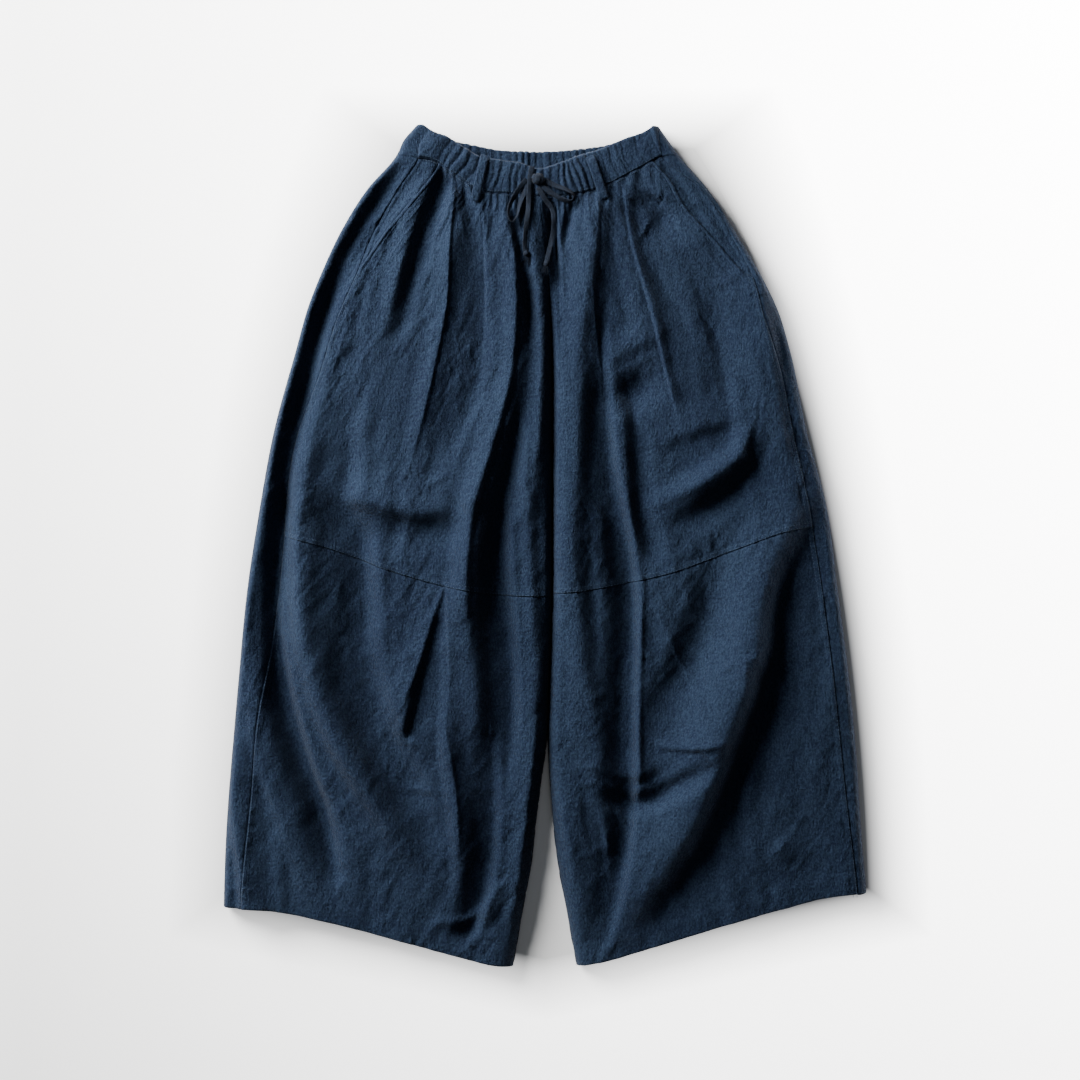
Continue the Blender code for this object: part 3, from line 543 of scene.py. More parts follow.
def rounded(away, roll):
    """How far up a rounded edge has come, from 0 on the edge to 1 past the roll."""
    return np.sqrt(1 - (1 - np.clip(away / roll, 0, 1)) ** 2)


def eased(share):
    """A soft step from 0 to 1."""
    share = np.clip(share, 0, 1)
    return share * share * (3 - 2 * share)


def off_floor(top):
    """The same height, kept softly from sinking below the least one."""
    over = top - LEAST_RISE - FLOOR_EASE
    return np.where(over > 0, top, LEAST_RISE + FLOOR_EASE * np.exp(over / FLOOR_EASE))


def height(side, x, y):
    """The top of the front over the floor."""
    out = OUTWARD[side]
    outside = rounded((outline[side](y) - x) * out, OUTER_ROLL)
    inside = rounded((x - inner[side](y)) * out - SEAM_GAP / 2, INNER_ROLL)
    sunk = np.clip(sink(y), 0, 1)
    folds = sum(fold_height(fold, x, y) for fold in FOLDS[side])
    folds = folds * inside * eased((waist_seam(x) - y) / PLEAT_START)
    return off_floor(EDGE_RISE + outside * ((1 - sunk + sunk * inside) * (loft(y) - EDGE_RISE) + folds))


def surface(x, y):
    """The top of either front, parted at the centre seam."""
    return np.where(x < inner["left"](y), height("left", x, y), height("right", x, y))


# The height of the cloth


def lattice_noise(u, v, seed):
    """Smooth waves between -1 and 1, one to each unit of u and v."""
    table = np.random.default_rng(seed).uniform(-1, 1, (64, 64))
    i, j = np.floor(u).astype(int), np.floor(v).astype(int)
    s, t = u - i, v - j
    s, t = s * s * (3 - 2 * s), t * t * (3 - 2 * t)
    low = table[i % 64, j % 64] * (1 - s) + table[(i + 1) % 64, j % 64] * s
    high = table[i % 64, (j + 1) % 64] * (1 - s) + table[(i + 1) % 64, (j + 1) % 64] * s
    return low * (1 - t) + high * t


def along_leg(side, x, y):
    """How far across its leg a point lies, measured so that equal measures fan out with the leg."""
    width = (outline[side](y) - inner[side](y)) * OUTWARD[side]
    return (x - inner[side](y)) * OUTWARD[side] / width * LEG_MEASURE


def wrinkles(side, x, y):
    """What wearing and washing leave: long soft ripples, shorter dents and sharp little creases."""
    seed = 11 if side == "left" else 47
    across = along_leg(side, x, y)
    swirl = 9 * MM * lattice_noise(across / (60 * MM), y / (90 * MM), seed + 1)
    u, v = across + swirl, y + 14 * MM * lattice_noise(across / (45 * MM), y / (70 * MM), seed + 2)
    ripples = lattice_noise(u / (15 * MM), v / (95 * MM), seed + 3)
    dents = lattice_noise((u + 0.4 * v) / (19 * MM), v / (42 * MM), seed + 4)
    slant = lattice_noise((u + 0.55 * v) / (8 * MM), (v - 0.4 * u) / (34 * MM), seed + 5)
    other = lattice_noise((u - 0.7 * v) / (9 * MM), (v + 0.5 * u) / (38 * MM), seed + 6)
    patchy = 0.35 + 0.65 * eased(0.5 + lattice_noise(u / (55 * MM), v / (60 * MM), seed + 7))
    sharp = (1 - np.abs(slant)) ** 5 - 0.25 + (1 - np.abs(other)) ** 6 - 0.2
    return MM * (1.3 * ripples + 1.1 * dents + patchy * (1.1 * sharp + 0.4 * slant))


def bell(away, width):
    """1 on a line, falling off softly to either side."""
    return np.exp(-((away / width) ** 2))


def seam_pull(away, along, width):
    """A seam's dip, the strip pressed up beside it as far as its second stitching, and small puckers."""
    strip = eased(away / (0.8 * MM)) * eased((width - away) / (1.2 * MM))
    groove = bell(away, 0.9 * MM) + 0.5 * bell(away - width, 0.8 * MM)
    pucker = lattice_noise(along / (4.5 * MM), away * 0, 77) * bell(away - width / 2, 9 * MM)
    return MM * (0.6 * strip - 0.7 * groove + 0.5 * pucker)


def gathers_before(x, hollows):
    """How many gathers lie before x, counted from one hollow to the next."""
    return np.interp(x, np.array(hollows, float) * MM, np.arange(len(hollows)))


def dressed(side, x, y):
    """The top of the cloth over the floor, with all its creases."""
    out = OUTWARD[side]
    outside = rounded((outline[side](y) - x) * out, OUTER_ROLL)
    inside = rounded((x - inner[side](y)) * out, INNER_ROLL)
    from_waist = waist_seam(x) - y
    from_side = (side_seam[side](y) - x) * out
    small = sum(fold_height(crease, x, y) for crease in CREASES[side]) + wrinkles(side, x, y)
    puffs = 0.1 - np.cos(2 * pi * gathers_before(x, FRONT_GATHERS)) / 2
    letting_out = puffs * LET_OUT_RISE * bell(from_waist, LET_OUT_LENGTH) * (from_waist > 0)
    small = small * eased(from_waist / CREASE_START) + letting_out
    top = height(side, x, y) + outside * inside * small
    top += inside * eased(from_side / (3 * MM)) * seam_pull(y - knee_seam[side](x), x, KNEE_STITCH)
    top += outside * eased((from_waist + 2 * MM) / (4 * MM)) * seam_pull(from_side, y, SIDE_STITCH)
    top += 0.7 * outside * inside * seam_pull(hem[side](x) + HEM_DEPTH - y, x, HEM_DEPTH)
    beside_pocket = eased((y - POCKET_END) / (6 * MM)) * eased(from_waist / (4 * MM))
    top += 1.5 * beside_pocket * seam_pull((pocket_mouth[side](y) - x) * out, y, MOUTH_STITCH)
    return off_floor(top)


def dressed_at(x, y):
    """The same for either leg, parted at the centre seam."""
    return np.where(x < inner["left"](y), dressed("left", x, y), dressed("right", x, y))


# Grids of points


def settle(near, far, steps, lines, weights):
    """A grid of (x, y): near and far give x for a y, lines give y for an x, weights mix them by row."""
    share, inset = np.array(steps).T
    way = np.sign(far(0.0) - near(0.0))
    y = np.repeat(weights @ np.array([[line(0.0)] for line in lines]), len(share), 1)
    for _ in range(SETTLING_ROUNDS):
        x = near(y) + (far(y) - near(y)) * share + way * inset
        y = sum(weights[:, [k]] * line(x) for k, line in enumerate(lines))
    return x, y


def rows_between(*counts):
    """Weights that take rows from the first line to the next, and so on."""
    weights = [[1.0] + [0.0] * len(counts)]
    for k, count in enumerate(counts):
        for v in np.linspace(0, 1, count)[1:]:
            weights.append([0.0] * k + [1 - v, v] + [0.0] * (len(counts) - k - 1))
    return np.array(weights)


def rows_with_ends(top, bottom, count):
    """Lines and weights for rows that crowd towards the seam at either end."""
    lines = [moved(top, -d) for d in NEAR_SEAM] + [moved(bottom, d) for d in NEAR_SEAM[::-1]]
    return lines, rows_between(2, 2, 2, count, 2, 2, 2)


def turns(count):
    """How far in from a rounded edge each of its columns lies, as shares of the roll."""
    return 1 - np.cos(np.linspace(0, pi / 2, count + 1))[:-1]


def under_steps(count):
    """Columns across the underside, crowded at the rounded edge on either side."""
    steps = [(0.0, UNDER_ROLL * t) for t in turns(EDGE_COLUMNS)]
    steps += [(u, UNDER_ROLL * (1 - 2 * u)) for u in np.linspace(0, 1, count)]
    return steps + [(1.0, -UNDER_ROLL * t) for t in turns(EDGE_COLUMNS)[::-1]]


def under_rise(x):
    """How far the underside has come up in each column of its rounded edges."""
    lift = EDGE_RISE * (1 - np.sin(np.linspace(0, pi / 2, EDGE_COLUMNS + 1))[:-1])
    rise = np.zeros_like(x)
    rise[:, :EDGE_COLUMNS] = lift
    rise[:, -EDGE_COLUMNS:] = lift[::-1]
    return rise


def front_grid(side, top, bottom, long):
    """A front panel, whose top edge is tucked a little under the seam above it."""
    seam = NEAR_SEAM[-1]
    steps = [(0.0, d) for d in NEAR_SEAM[:-1]]
    steps += [(u, seam * (1 - u) - INNER_ROLL * u) for u in np.linspace(0, 1, int(FRONT_WIDTH / FINE_X))]
    steps += [(1.0, -INNER_ROLL * t) for t in turns(INSEAM_COLUMNS)[::-1]]
    lines, weights = rows_with_ends(top, bottom, int(long / FINE_Y))
    x, y = settle(front_edge(side), inner[side], steps, lines, weights)
    grid = np.stack([x, y, dressed(side, x, y)], -1)
    grid[0] += (0, TUCK, -TUCK)
    return grid


def back_grid(side):
    """Under from the inseam outwards, round the fold, and over to the side seam."""
    rows = int(BACK_LENGTH / FINE_Y)
    lines, weights = rows_with_ends(back_waist_seam, dropped(side), rows)
    x, y = settle(inner[side], outline[side], under_steps(UNDER_COLUMNS), lines, weights)
    rise = under_rise(x)
    rise[:, :EDGE_COLUMNS] *= eased((CROTCH_Y + CROTCH_EASE - y[:, :EDGE_COLUMNS]) / CROTCH_EASE)
    under = np.stack([x, y, rise], -1)
    lines, weights = rows_with_ends(waist_seam, dropped(side), rows)
    steps = [(1 - np.cos(t), 0.0) for t in np.linspace(0, pi / 3, FLANK_COLUMNS + 1)[1:]]
    steps += [(0.5 + 0.5 * u, -NEAR_SEAM[-1] * u) for u in np.linspace(0, 1, FLANK_COLUMNS + 1)[1:]]
    steps += [(1.0, -d) for d in NEAR_SEAM[-2::-1]]
    x, y = settle(outline[side], side_seam[side], steps, lines, weights)
    over = np.stack([x, y, dressed(side, x, y)], -1)
    over[:, -1] += (-OUTWARD[side] * TUCK, 0, -TUCK)
    return np.concatenate([under, over], 1)


def gathered(x, hollows, seed):
    """The rounded rise of the cloth between one hollow and the next, from 0 to 1."""
    phase = gathers_before(x, hollows)
    depth = 0.6 + 0.4 * lattice_noise(np.floor(phase) * 0.731, 0 * x, seed)
    return np.abs(np.sin(pi * phase)) ** 0.5 * depth


def back_band_grid():
    """From the right side seam, under the garment, to the left, with how thick the gathers make it."""
    rows = rows_between(BACK_BAND_ROWS)
    over = {}
    for side in SIDES:
        steps = [(1 - np.cos(t), 0.0) for t in np.linspace(0, pi / 2, WRAP_COLUMNS + 1)[1:]]
        x, y = settle(outline[side], side_seam[side], steps, [band_top, waist_seam], rows)
        over[side] = np.stack([x, y, height(side, x, y)], -1)
    lines = [back_band_top, back_waist_seam]
    x, y = settle(outline["left"], outline["right"], under_steps(BACK_BAND_COLUMNS), lines, rows)
    under = np.stack([x, y, under_rise(x)], -1)
    uneven = 0.5 * MM * lattice_noise(x / (4 * MM), y / (9 * MM), 12)
    thick = gathered(x, BACK_GATHERS, 31) * GATHER_DEPTH * 0.9 + uneven
    thick *= eased((x - BACK_GATHERS_FROM) / GATHER_FADE) * eased((BACK_GATHERS_TO - x) / GATHER_FADE)
    grid = np.concatenate([over["right"][:, ::-1], under[:, ::-1], over["left"]], 1)
    plain = np.zeros((BACK_BAND_ROWS, WRAP_COLUMNS))
    return grid, np.concatenate([plain, thick[:, ::-1], plain], 1)


def unit(vectors):
    """The same directions, each one long."""
    return vectors / (np.linalg.norm(vectors, axis=-1, keepdims=True) + 1e-12)


def inward_of(grid):
    """The unit direction into the cloth at each point of a grid whose columns and rows face out."""
    return -unit(np.cross(np.gradient(grid, axis=0), np.gradient(grid, axis=1)))


# Meshes


def sewn_piece(name, points, faces, material):
    """A smooth mesh that rides with the trousers."""
    mesh = bpy.data.meshes.new(name)
    mesh.from_pydata(np.asarray(points).tolist(), [], [tuple(face) for face in faces])
    mesh.shade_smooth()
    mesh.materials.append(material)
    made = bpy.data.objects.new(name, mesh)
    bpy.context.scene.collection.objects.link(made)
    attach(made, "root")
    return made


def cloth_wall(name, outer, inner_points):
    """A closed sheet of linen between a grid of outer points and a grid of inner ones, with rounded edges."""
    rows, columns = outer.shape[:2]
    size = rows * columns
    top = np.arange(size).reshape(rows, columns)
    under = top + size
    quads = [
        np.stack([top[:-1, :-1], top[1:, :-1], top[1:, 1:], top[:-1, 1:]], -1).reshape(-1, 4),
        np.stack([under[:-1, :-1], under[:-1, 1:], under[1:, 1:], under[1:, :-1]], -1).reshape(-1, 4),
    ]
    rim = [(0, j) for j in range(columns - 1)] + [(i, columns - 1) for i in range(rows - 1)]
    rim += [(rows - 1, j) for j in range(columns - 1, 0, -1)] + [(i, 0) for i in range(rows - 1, 0, -1)]
    i, j = np.array(rim).T
    a, b = outer[i, j], inner_points[i, j]
    away = unit(a - outer[np.clip(i, 1, rows - 2), np.clip(j, 1, columns - 2)])
    middle = (a + b) / 2 + away * np.linalg.norm(a - b, axis=-1, keepdims=True) * EDGE_BULGE
    points = np.concatenate([outer.reshape(-1, 3), inner_points.reshape(-1, 3), middle])
    edge, count = 2 * size + np.arange(len(rim)), len(rim)
    after = (np.arange(count) + 1) % count
    upper, lower = top[i, j], under[i, j]
    quads.append(np.stack([upper, upper[after], edge[after], edge], -1))
    quads.append(np.stack([edge, edge[after], lower[after], lower], -1))
    return sewn_piece(name, points, np.concatenate(quads), finish("washed_linen"))


def cloth_panel(name, side, grid, thickness):
    """A sheet of even thickness under a leg's grid, whose columns are put in the order that faces out."""
    grid = grid if side == "left" else grid[:, ::-1]
    return cloth_wall(name, grid, grid + inward_of(grid) * thickness)


def run_along(path, step, smooth=True):
    """Evenly spaced (x, y) along a path, with the direction at each. A smoothed path is in millimetres."""
    line = smooth_path(path)[0] if smooth else np.asarray(path, float)
    run = np.concatenate([[0], np.cumsum(np.linalg.norm(np.diff(line, axis=0), axis=1))])
    stops = np.linspace(0, run[-1], max(2, int(run[-1] / step) + 1))
    points = np.stack([np.interp(stops, run, line[:, k]) for k in range(line.shape[1])], -1)
    return points, unit(np.gradient(points, axis=0))


def swept(line, across, up, outline_points):
    """Points and faces of a solid with the same outline all along a line."""
    n, last = len(outline_points), len(line) - 1
    points = [p + a * u + b * v for p, a, b in zip(line, across, up) for u, v in outline_points]
    start, end = len(points), len(points) + 1
    faces = []
    for i in range(last):
        for k in range(n):
            after = (k + 1) % n
            faces.append((i * n + k, i * n + after, (i + 1) * n + after, (i + 1) * n + k))
    for k in range(n):
        after = (k + 1) % n
        faces.append((start, after, k))
        faces.append((end, last * n + k, last * n + after))
    return points + [line[0], line[-1]], faces


# Materials


def group_with(name, inputs, outputs):
    """An empty shader node group with named number sockets, and its input and output nodes."""
    group = bpy.data.node_groups.new(name, "ShaderNodeTree")
    for label, default in inputs:
        socket = group.interface.new_socket(label, in_out="INPUT", socket_type="NodeSocketFloat")
        socket.default_value = default
    for label in outputs:
        group.interface.new_socket(label, in_out="OUTPUT", socket_type="NodeSocketFloat")
    return group, group.nodes.new("NodeGroupInput"), group.nodes.new("NodeGroupOutput")


def noise_node(tree, where, scale, detail=2.0, rough=0.5, distort=0.0):
    """Soft noise at a place, from about 0 to 1."""
    node = tree.nodes.new("ShaderNodeTexNoise")
    for name, number in (("Scale", scale), ("Detail", detail), ("Roughness", rough), ("Distortion", distort)):
        node.inputs[name].default_value = number
    tree.links.new(where, node.inputs["Vector"])
    return node.outputs["Fac"]


def math_node(tree, operation, *values):
    """One sum on numbers or on other nodes' outputs."""
    node = tree.nodes.new("ShaderNodeMath")
    node.operation = operation
    for socket, value in zip(node.inputs, values):
        if isinstance(value, (int, float)):
            socket.default_value = value
        else:
            tree.links.new(value, socket)
    return node.outputs[0]


def in_range(tree, value, span, result=(0.0, 1.0)):
    """The value carried from one span of numbers to another and held at its ends."""
    node = tree.nodes.new("ShaderNodeMapRange")
    for name, number in zip(("From Min", "From Max", "To Min", "To Max"), (*span, *result)):
        node.inputs[name].default_value = number
    tree.links.new(value, node.inputs["Value"])
    return node.outputs[0]


def split_place(tree):
    """The x and y of each point on the object."""
    split = tree.nodes.new("ShaderNodeSeparateXYZ")
    tree.links.new(tree.nodes.new("ShaderNodeTexCoord").outputs["Object"], split.inputs[0])
    return split.outputs["X"], split.outputs["Y"]


def stretched(tree, where, scale):
    """The same place measured with a different scale in each direction."""
    node = tree.nodes.new("ShaderNodeMapping")
    node.inputs["Scale"].default_value = scale
    tree.links.new(where, node.inputs["Vector"])
    return node.outputs[0]


def weave_group():
    """Plain linen weave whose threads have thick and thin places."""
    group, given, out = group_with("Linen weave", [("Threads per metre", 1500.0)], ["Height", "Slubs"])
    where = group.nodes.new("ShaderNodeTexCoord").outputs["Object"]
    x, y = split_place(group)
    round_once = math_node(group, "MULTIPLY", given.outputs["Threads per metre"], 2 * pi)
    wander = math_node(group, "MULTIPLY", noise_node(group, where, 90.0, 1.0), 9.0)
    across = math_node(group, "MULTIPLY_ADD", x, round_once, wander)
    along = math_node(group, "MULTIPLY_ADD", y, round_once, wander)
    crossing = math_node(group, "MULTIPLY", math_node(group, "SINE", across), math_node(group, "SINE", along))
    warp = noise_node(group, stretched(group, where, (520.0, 70.0, 120.0)), 1.0)
    weft = noise_node(group, stretched(group, where, (70.0, 520.0, 120.0)), 1.0)
    slubs = math_node(group, "MULTIPLY", math_node(group, "ADD", warp, weft), 0.5)
    group.links.new(math_node(group, "MULTIPLY_ADD", crossing, 0.1, slubs), out.inputs["Height"])
    group.links.new(slubs, out.inputs["Slubs"])


def crumple_group():
    """Crumples left by washing: soft dents with a finer crepe over them, and a fine grain."""
    inputs = [("Dents per metre", 85.0), ("Crepe per metre", 300.0), ("Crepe share", 0.72)]
    inputs.append(("Grain per metre", 540.0))
    group, given, out = group_with("Washed crumple", inputs, ["Height", "Faded", "Grain"])
    where = group.nodes.new("ShaderNodeTexCoord").outputs["Object"]
    longer = stretched(group, where, (1.0, 0.62, 1.0))
    made = []
    for per_metre, detail in (("Dents per metre", 2.0), ("Crepe per metre", 3.0), ("Grain per metre", 1.0)):
        sized = group.nodes.new("ShaderNodeVectorMath")
        sized.operation = "SCALE"
        group.links.new(longer, sized.inputs[0])
        group.links.new(given.outputs[per_metre], sized.inputs["Scale"])
        made.append(noise_node(group, sized.outputs[0], 1.0, detail, 0.6, 0.3))
    dents, crepe, grain = made
    share = given.outputs["Crepe share"]
    dents = math_node(group, "MULTIPLY", dents, math_node(group, "SUBTRACT", 1.0, share))
    group.links.new(math_node(group, "MULTIPLY_ADD", crepe, share, dents), out.inputs["Height"])
    group.links.new(grain, out.inputs["Grain"])
    group.links.new(noise_node(group, where, 8.0, 4.0, 0.62), out.inputs["Faded"])


def placed(tree, name, **values):
    """A group in a material's tree, with values for the inputs whose names are given."""
    node = tree.nodes.new("ShaderNodeGroup")
    node.node_tree = bpy.data.node_groups[name]
    for label, value in values.items():
        node.inputs[label.replace("_", " ")].default_value = value
    return node


def bump(tree, height, distance, below=None):
    """The normal of a surface that stands up by height, over the normal below it if there is one."""
    node = tree.nodes.new("ShaderNodeBump")
    node.inputs["Distance"].default_value = distance
    node.inputs["Strength"].default_value = 1.0
    tree.links.new(height, node.inputs["Height"])
    if below:
        tree.links.new(below, node.inputs["Normal"])
    return node.outputs["Normal"]


# How closely each finish is woven and crumpled, per metre, and how deep its crumples are
Weave = namedtuple("Weave", "threads dents relief")
WEAVES = {
    "washed_linen": Weave(1500.0, 85.0, 2.8 * MM),
    "drawstring_tape": Weave(2600.0, 260.0, 0.9 * MM),
    "sewing_thread": Weave(5200.0, 600.0, 0.1 * MM),
}
CREPE_TO_DENTS = 4.4

# The part of each pattern's range over which the dye goes from full to worn; over the grain's range this
# paints shade into the grain's pits
FADED_RANGE = (0.35, 0.7)
SLUB_RANGE = (0.38, 0.64)
PIT_SHADE_RANGE = (0.36, 0.64)


def woven_finish(name, dye, worn, weave):
    """A matt woven finish whose dye has faded unevenly, with shade painted into the pits of its fine grain.
    """
    material = bpy.data.materials.new(name)
    material.use_nodes = True
    tree = material.node_tree
    shader = tree.nodes["Principled BSDF"]
    shader.inputs["Sheen Weight"].default_value = 0.03
    shader.inputs["Sheen Roughness"].default_value = 0.4
    shader.inputs["Specular IOR Level"].default_value = 0.12
    threads = placed(tree, "Linen weave", Threads_per_metre=weave.threads)
    crepe = CREPE_TO_DENTS * weave.dents
    crumple = placed(tree, "Washed crumple", Dents_per_metre=weave.dents, Crepe_per_metre=crepe)
    slubs, grain = threads.outputs["Slubs"], crumple.outputs["Grain"]
    # Painted shade: the fine grain's pits take more of the full dye and its crests more of the paler one
    pit_shade = math_node(tree, "MULTIPLY", in_range(tree, grain, PIT_SHADE_RANGE), 0.9)
    slubs_and_pit_shade = math_node(tree, "MULTIPLY_ADD", in_range(tree, slubs, SLUB_RANGE), 0.4, pit_shade)
    faded = in_range(tree, crumple.outputs["Faded"], FADED_RANGE)
    share = math_node(tree, "MULTIPLY_ADD", faded, 0.45, math_node(tree, "SUBTRACT", slubs_and_pit_shade, 0.4))
    mix = tree.nodes.new("ShaderNodeMix")
    mix.data_type = "RGBA"
    mix.inputs["A"].default_value = (*dye, 1)
    mix.inputs["B"].default_value = (*worn, 1)
    tree.links.new(share, mix.inputs["Factor"])
    tree.links.new(mix.outputs["Result"], shader.inputs["Base Color"])
    tree.links.new(math_node(tree, "MULTIPLY_ADD", slubs, 0.15, 0.78), shader.inputs["Roughness"])
    crumpled = bump(tree, crumple.outputs["Height"], weave.relief)
    grained = math_node(tree, "MULTIPLY_ADD", grain, 1.3, threads.outputs["Height"])
    tree.links.new(bump(tree, grained, weave.relief / 4, crumpled), shader.inputs["Normal"])


def finish(name):
    """One of the garment's own finishes, made when it is first asked for."""
    if name not in bpy.data.materials:
        s = bpy.context.scene.trousers
        if "Linen weave" not in bpy.data.node_groups:
            weave_group()
            crumple_group()
        colours = {
            "washed_linen": (s.dye, s.worn),
            "drawstring_tape": (s.tape, [2 * c for c in s.tape]),
            "sewing_thread": (s.thread, [1.4 * c for c in s.thread]),
        }
        woven_finish(name, *colours[name], WEAVES[name])
    return bpy.data.materials[name]


# The pieces


def band_height(x, y):
    """The outer top of the gathered front of the waistband, whose gathers stand square to its edges."""
    high = band_top(x) - waist_seam(x)
    down = np.clip((band_top(x) - y) / high, 0, 1)
    swing = np.interp(x / MM, *np.array(GATHER_LEAN, float).T)
    across = x - swing * (0.5 - down) * high + 2.5 * MM * lattice_noise(x / (20 * MM), down * 2.2, 5)
    rise = gathered(across, FRONT_GATHERS, 21) * BAND_PUFF * (0.6 + 0.4 * np.sin(pi * down) ** 0.7)
    rise += 0.7 * MM * lattice_noise(across / (2.6 * MM), down * 1.3, 8)
    rise += 0.7 * MM * lattice_noise(x / (14 * MM), down * 2, 9)
    return surface(x, y) + rise - 1.4 * MM * bell(y - waist_seam(x), 1.6 * MM)


def cloth_top(x, y):
    """The top of whatever cloth lies there: waistband or panel."""
    return np.where(y > waist_seam(x), band_height(x, y), dressed_at(x, y))


def declare(node):
    """Hide the solid that a piece of cloth stands for."""
    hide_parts(node)


def sew_fronts():
    """Sew the upper and the lower front of each leg."""
    cloth = bpy.context.scene.trousers.cloth
    for side in SIDES:
        knee = knee_seam[side]
        parts = (("upper", waist_seam, knee, UPPER_LENGTH), ("lower", knee, hem[side], LOWER_LENGTH))
        for part, top, bottom, long in parts:
            node = f"front_{part}_{side}"
            panel = cloth_panel(f"{node}_linen", side, front_grid(side, top, bottom, long), cloth)
            declare(node)


def sew_backs():
    """Sew the back of each leg."""
    for side in SIDES:
        grid = back_grid(side)
        back = cloth_panel(f"back_{side}_linen", side, grid, bpy.context.scene.trousers.cloth)
        declare(f"back_{side}")


def sew_pockets():
    """Lay the cloth under each pocket mouth, a little past the mouth and the side seam."""
    for side in SIDES:
        out, seam, mouth = OUTWARD[side], side_seam[side], front_edge(side)
        x, y = settle(
            lambda y: seam(y) + out * UNDERLAY_PAST_SEAM,
            lambda y: mouth(y) - out * UNDERLAY_PAST_MOUTH,
            [(u, 0.0) for u in np.linspace(0, 1, UNDERLAY_COLUMNS)],
            [moved(waist_seam, -1 * MM), lambda x: 0 * x + UNDERLAY_END],
            rows_between(UNDERLAY_ROWS),
        )
        grid = np.stack([x, y, dressed(side, x, y) - UNDERLAY_DEPTH], -1)
        piece = cloth_panel(f"pocket_underlay_{side}_linen", side, grid, 0.9 * MM)
        declare(f"pocket_underlay_{side}")


def sew_waistband():
    """Gather the front and the back half of the waistband."""
    steps = [(u, 0.0) for u in np.linspace(0, 1, FRONT_BAND_COLUMNS)]
    lines, rows = [band_top, waist_seam], rows_between(FRONT_BAND_ROWS)
    x, y = settle(side_seam["left"], side_seam["right"], steps, lines, rows)
    plain = np.stack([x, y, surface(x, y)], -1)
    raised = np.stack([x, y, band_height(x, y)], -1)
    front = cloth_wall("waistband_front_linen", raised, plain + inward_of(plain) * 2.2 * MM)
    declare("waistband_front")
    grid, thick = back_band_grid()
    inside = grid + inward_of(grid) * (2 * MM + thick)[..., None]
    back = cloth_wall("waistband_back_linen", grid, inside)
    declare("waistband_back")


def sew_belt_loops():
    """Sew a narrow strap over the waistband on either side, turned in at both ends."""
    past = LOOP_TURN_IN
    for side, strap in BELT_LOOPS.items():
        top, bottom = np.array(strap.top, float) * MM, np.array(strap.bottom, float) * MM
        along = (bottom - top) / np.linalg.norm(bottom - top)
        v = np.linspace(-past, 1 + past, LOOP_ROWS)[:, None]
        u = np.linspace(-0.5, 0.5, LOOP_COLUMNS)[None]
        x = top[0] + (bottom[0] - top[0]) * v - along[1] * strap.width * MM * u
        y = top[1] + (bottom[1] - top[1]) * v + along[0] * strap.width * MM * u
        base = (surface(x, y).max(1) + GATHER_DEPTH + 1.4 * MM)[:, None]
        pinch = np.minimum(v + past, 1 + past - v) / 0.12
        stand = 1.3 * MM * np.sin(pi * np.clip(v, 0, 1)) - 1.5 * MM * (1 - eased(pinch))
        crown = 0.5 * MM * (1 - (2 * u) ** 4) + 0.25 * MM * lattice_noise(v * 9, u * 2, 3)
        grid = np.stack([x, y, base + stand + crown], -1)
        piece = cloth_wall(f"belt_loop_{side}_linen", grid, grid + inward_of(grid) * LOOP_THICKNESS)
        declare(f"belt_loop_{side}")


# Stitching


# The rings round one stitch: place along it, thickness there and lift, as shares of its size
Ring = namedtuple("Ring", "place thick lift")
STITCH = [Ring(-0.5, 0.45, -0.55), Ring(-0.3, 1.0, 0.0), Ring(0.3, 1.0, 0.0), Ring(0.5, 0.45, -0.55)]
STITCH_SIDES = 6
STITCH_SHARE = 0.78
SLOPE_REACH = 0.8 * MM


def lie_of(x, y, way):
    """The directions along, across and up at points on the cloth, for a run going the given way."""
    reach = SLOPE_REACH
    slope_x = (cloth_top(x + reach, y) - cloth_top(x - reach, y)) / (2 * reach)
    slope_y = (cloth_top(x, y + reach) - cloth_top(x, y - reach)) / (2 * reach)
    up = unit(np.stack([-slope_x, -slope_y, np.ones_like(x)], -1))
    along = np.stack([way[:, 0], way[:, 1], 0 * x], -1)
    along = unit(along - up * (along * up).sum(-1, keepdims=True))
    return along, np.cross(up, along), up


def stitches(name, runs, pitch=3.4 * MM, lift=0.25 * MM):
    """One small raised stitch after another along each run of (x, y) points."""
    width = bpy.context.scene.trousers.thread_width
    around = np.linspace(0, 2 * pi, STITCH_SIDES + 1)[:-1]
    last_ring = (len(STITCH) - 1) * STITCH_SIDES
    points, faces = [], []
    for path in runs:
        middle, way = run_along(path, pitch, smooth=len(path) < SHORT_RUN)
        middle, way = middle[:-1] + np.diff(middle, axis=0) / 2, way[:-1]
        x, y = middle.T
        centre = np.stack([x, y, cloth_top(x, y) + lift], -1)
        for c, t, b, n in zip(centre, *lie_of(x, y, way)):
            first = len(points)
            for ring in STITCH:
                for turn in around:
                    r = width / 2 * ring.thick
                    high = r * np.sin(turn) + ring.lift * width
                    long = ring.place * pitch * STITCH_SHARE
                    points.append(c + t * long + b * r * np.cos(turn) + n * high)
            for start in range(first, first + last_ring, STITCH_SIDES):
                for k in range(STITCH_SIDES):
                    a, after = start + k, start + (k + 1) % STITCH_SIDES
                    faces.append((a, after, after + STITCH_SIDES, a + STITCH_SIDES))
            faces.append(tuple(first + k for k in reversed(range(STITCH_SIDES))))
            faces.append(tuple(first + last_ring + k for k in range(STITCH_SIDES)))
    return sewn_piece(name, points, faces, finish("sewing_thread"))


def beside(edge, by, high, low, step=4 * MM):
    """Points down an edge given as x of y, moved sideways."""
    y = np.arange(high, low, -step)
    return np.stack([edge(y) + by, y], -1)


def across_line(line, by, left, right, step=4 * MM):
    """Points along a line given as y of x, moved along y."""
    x = np.arange(left, right, step)
    return np.stack([x, line(x) + by], -1)


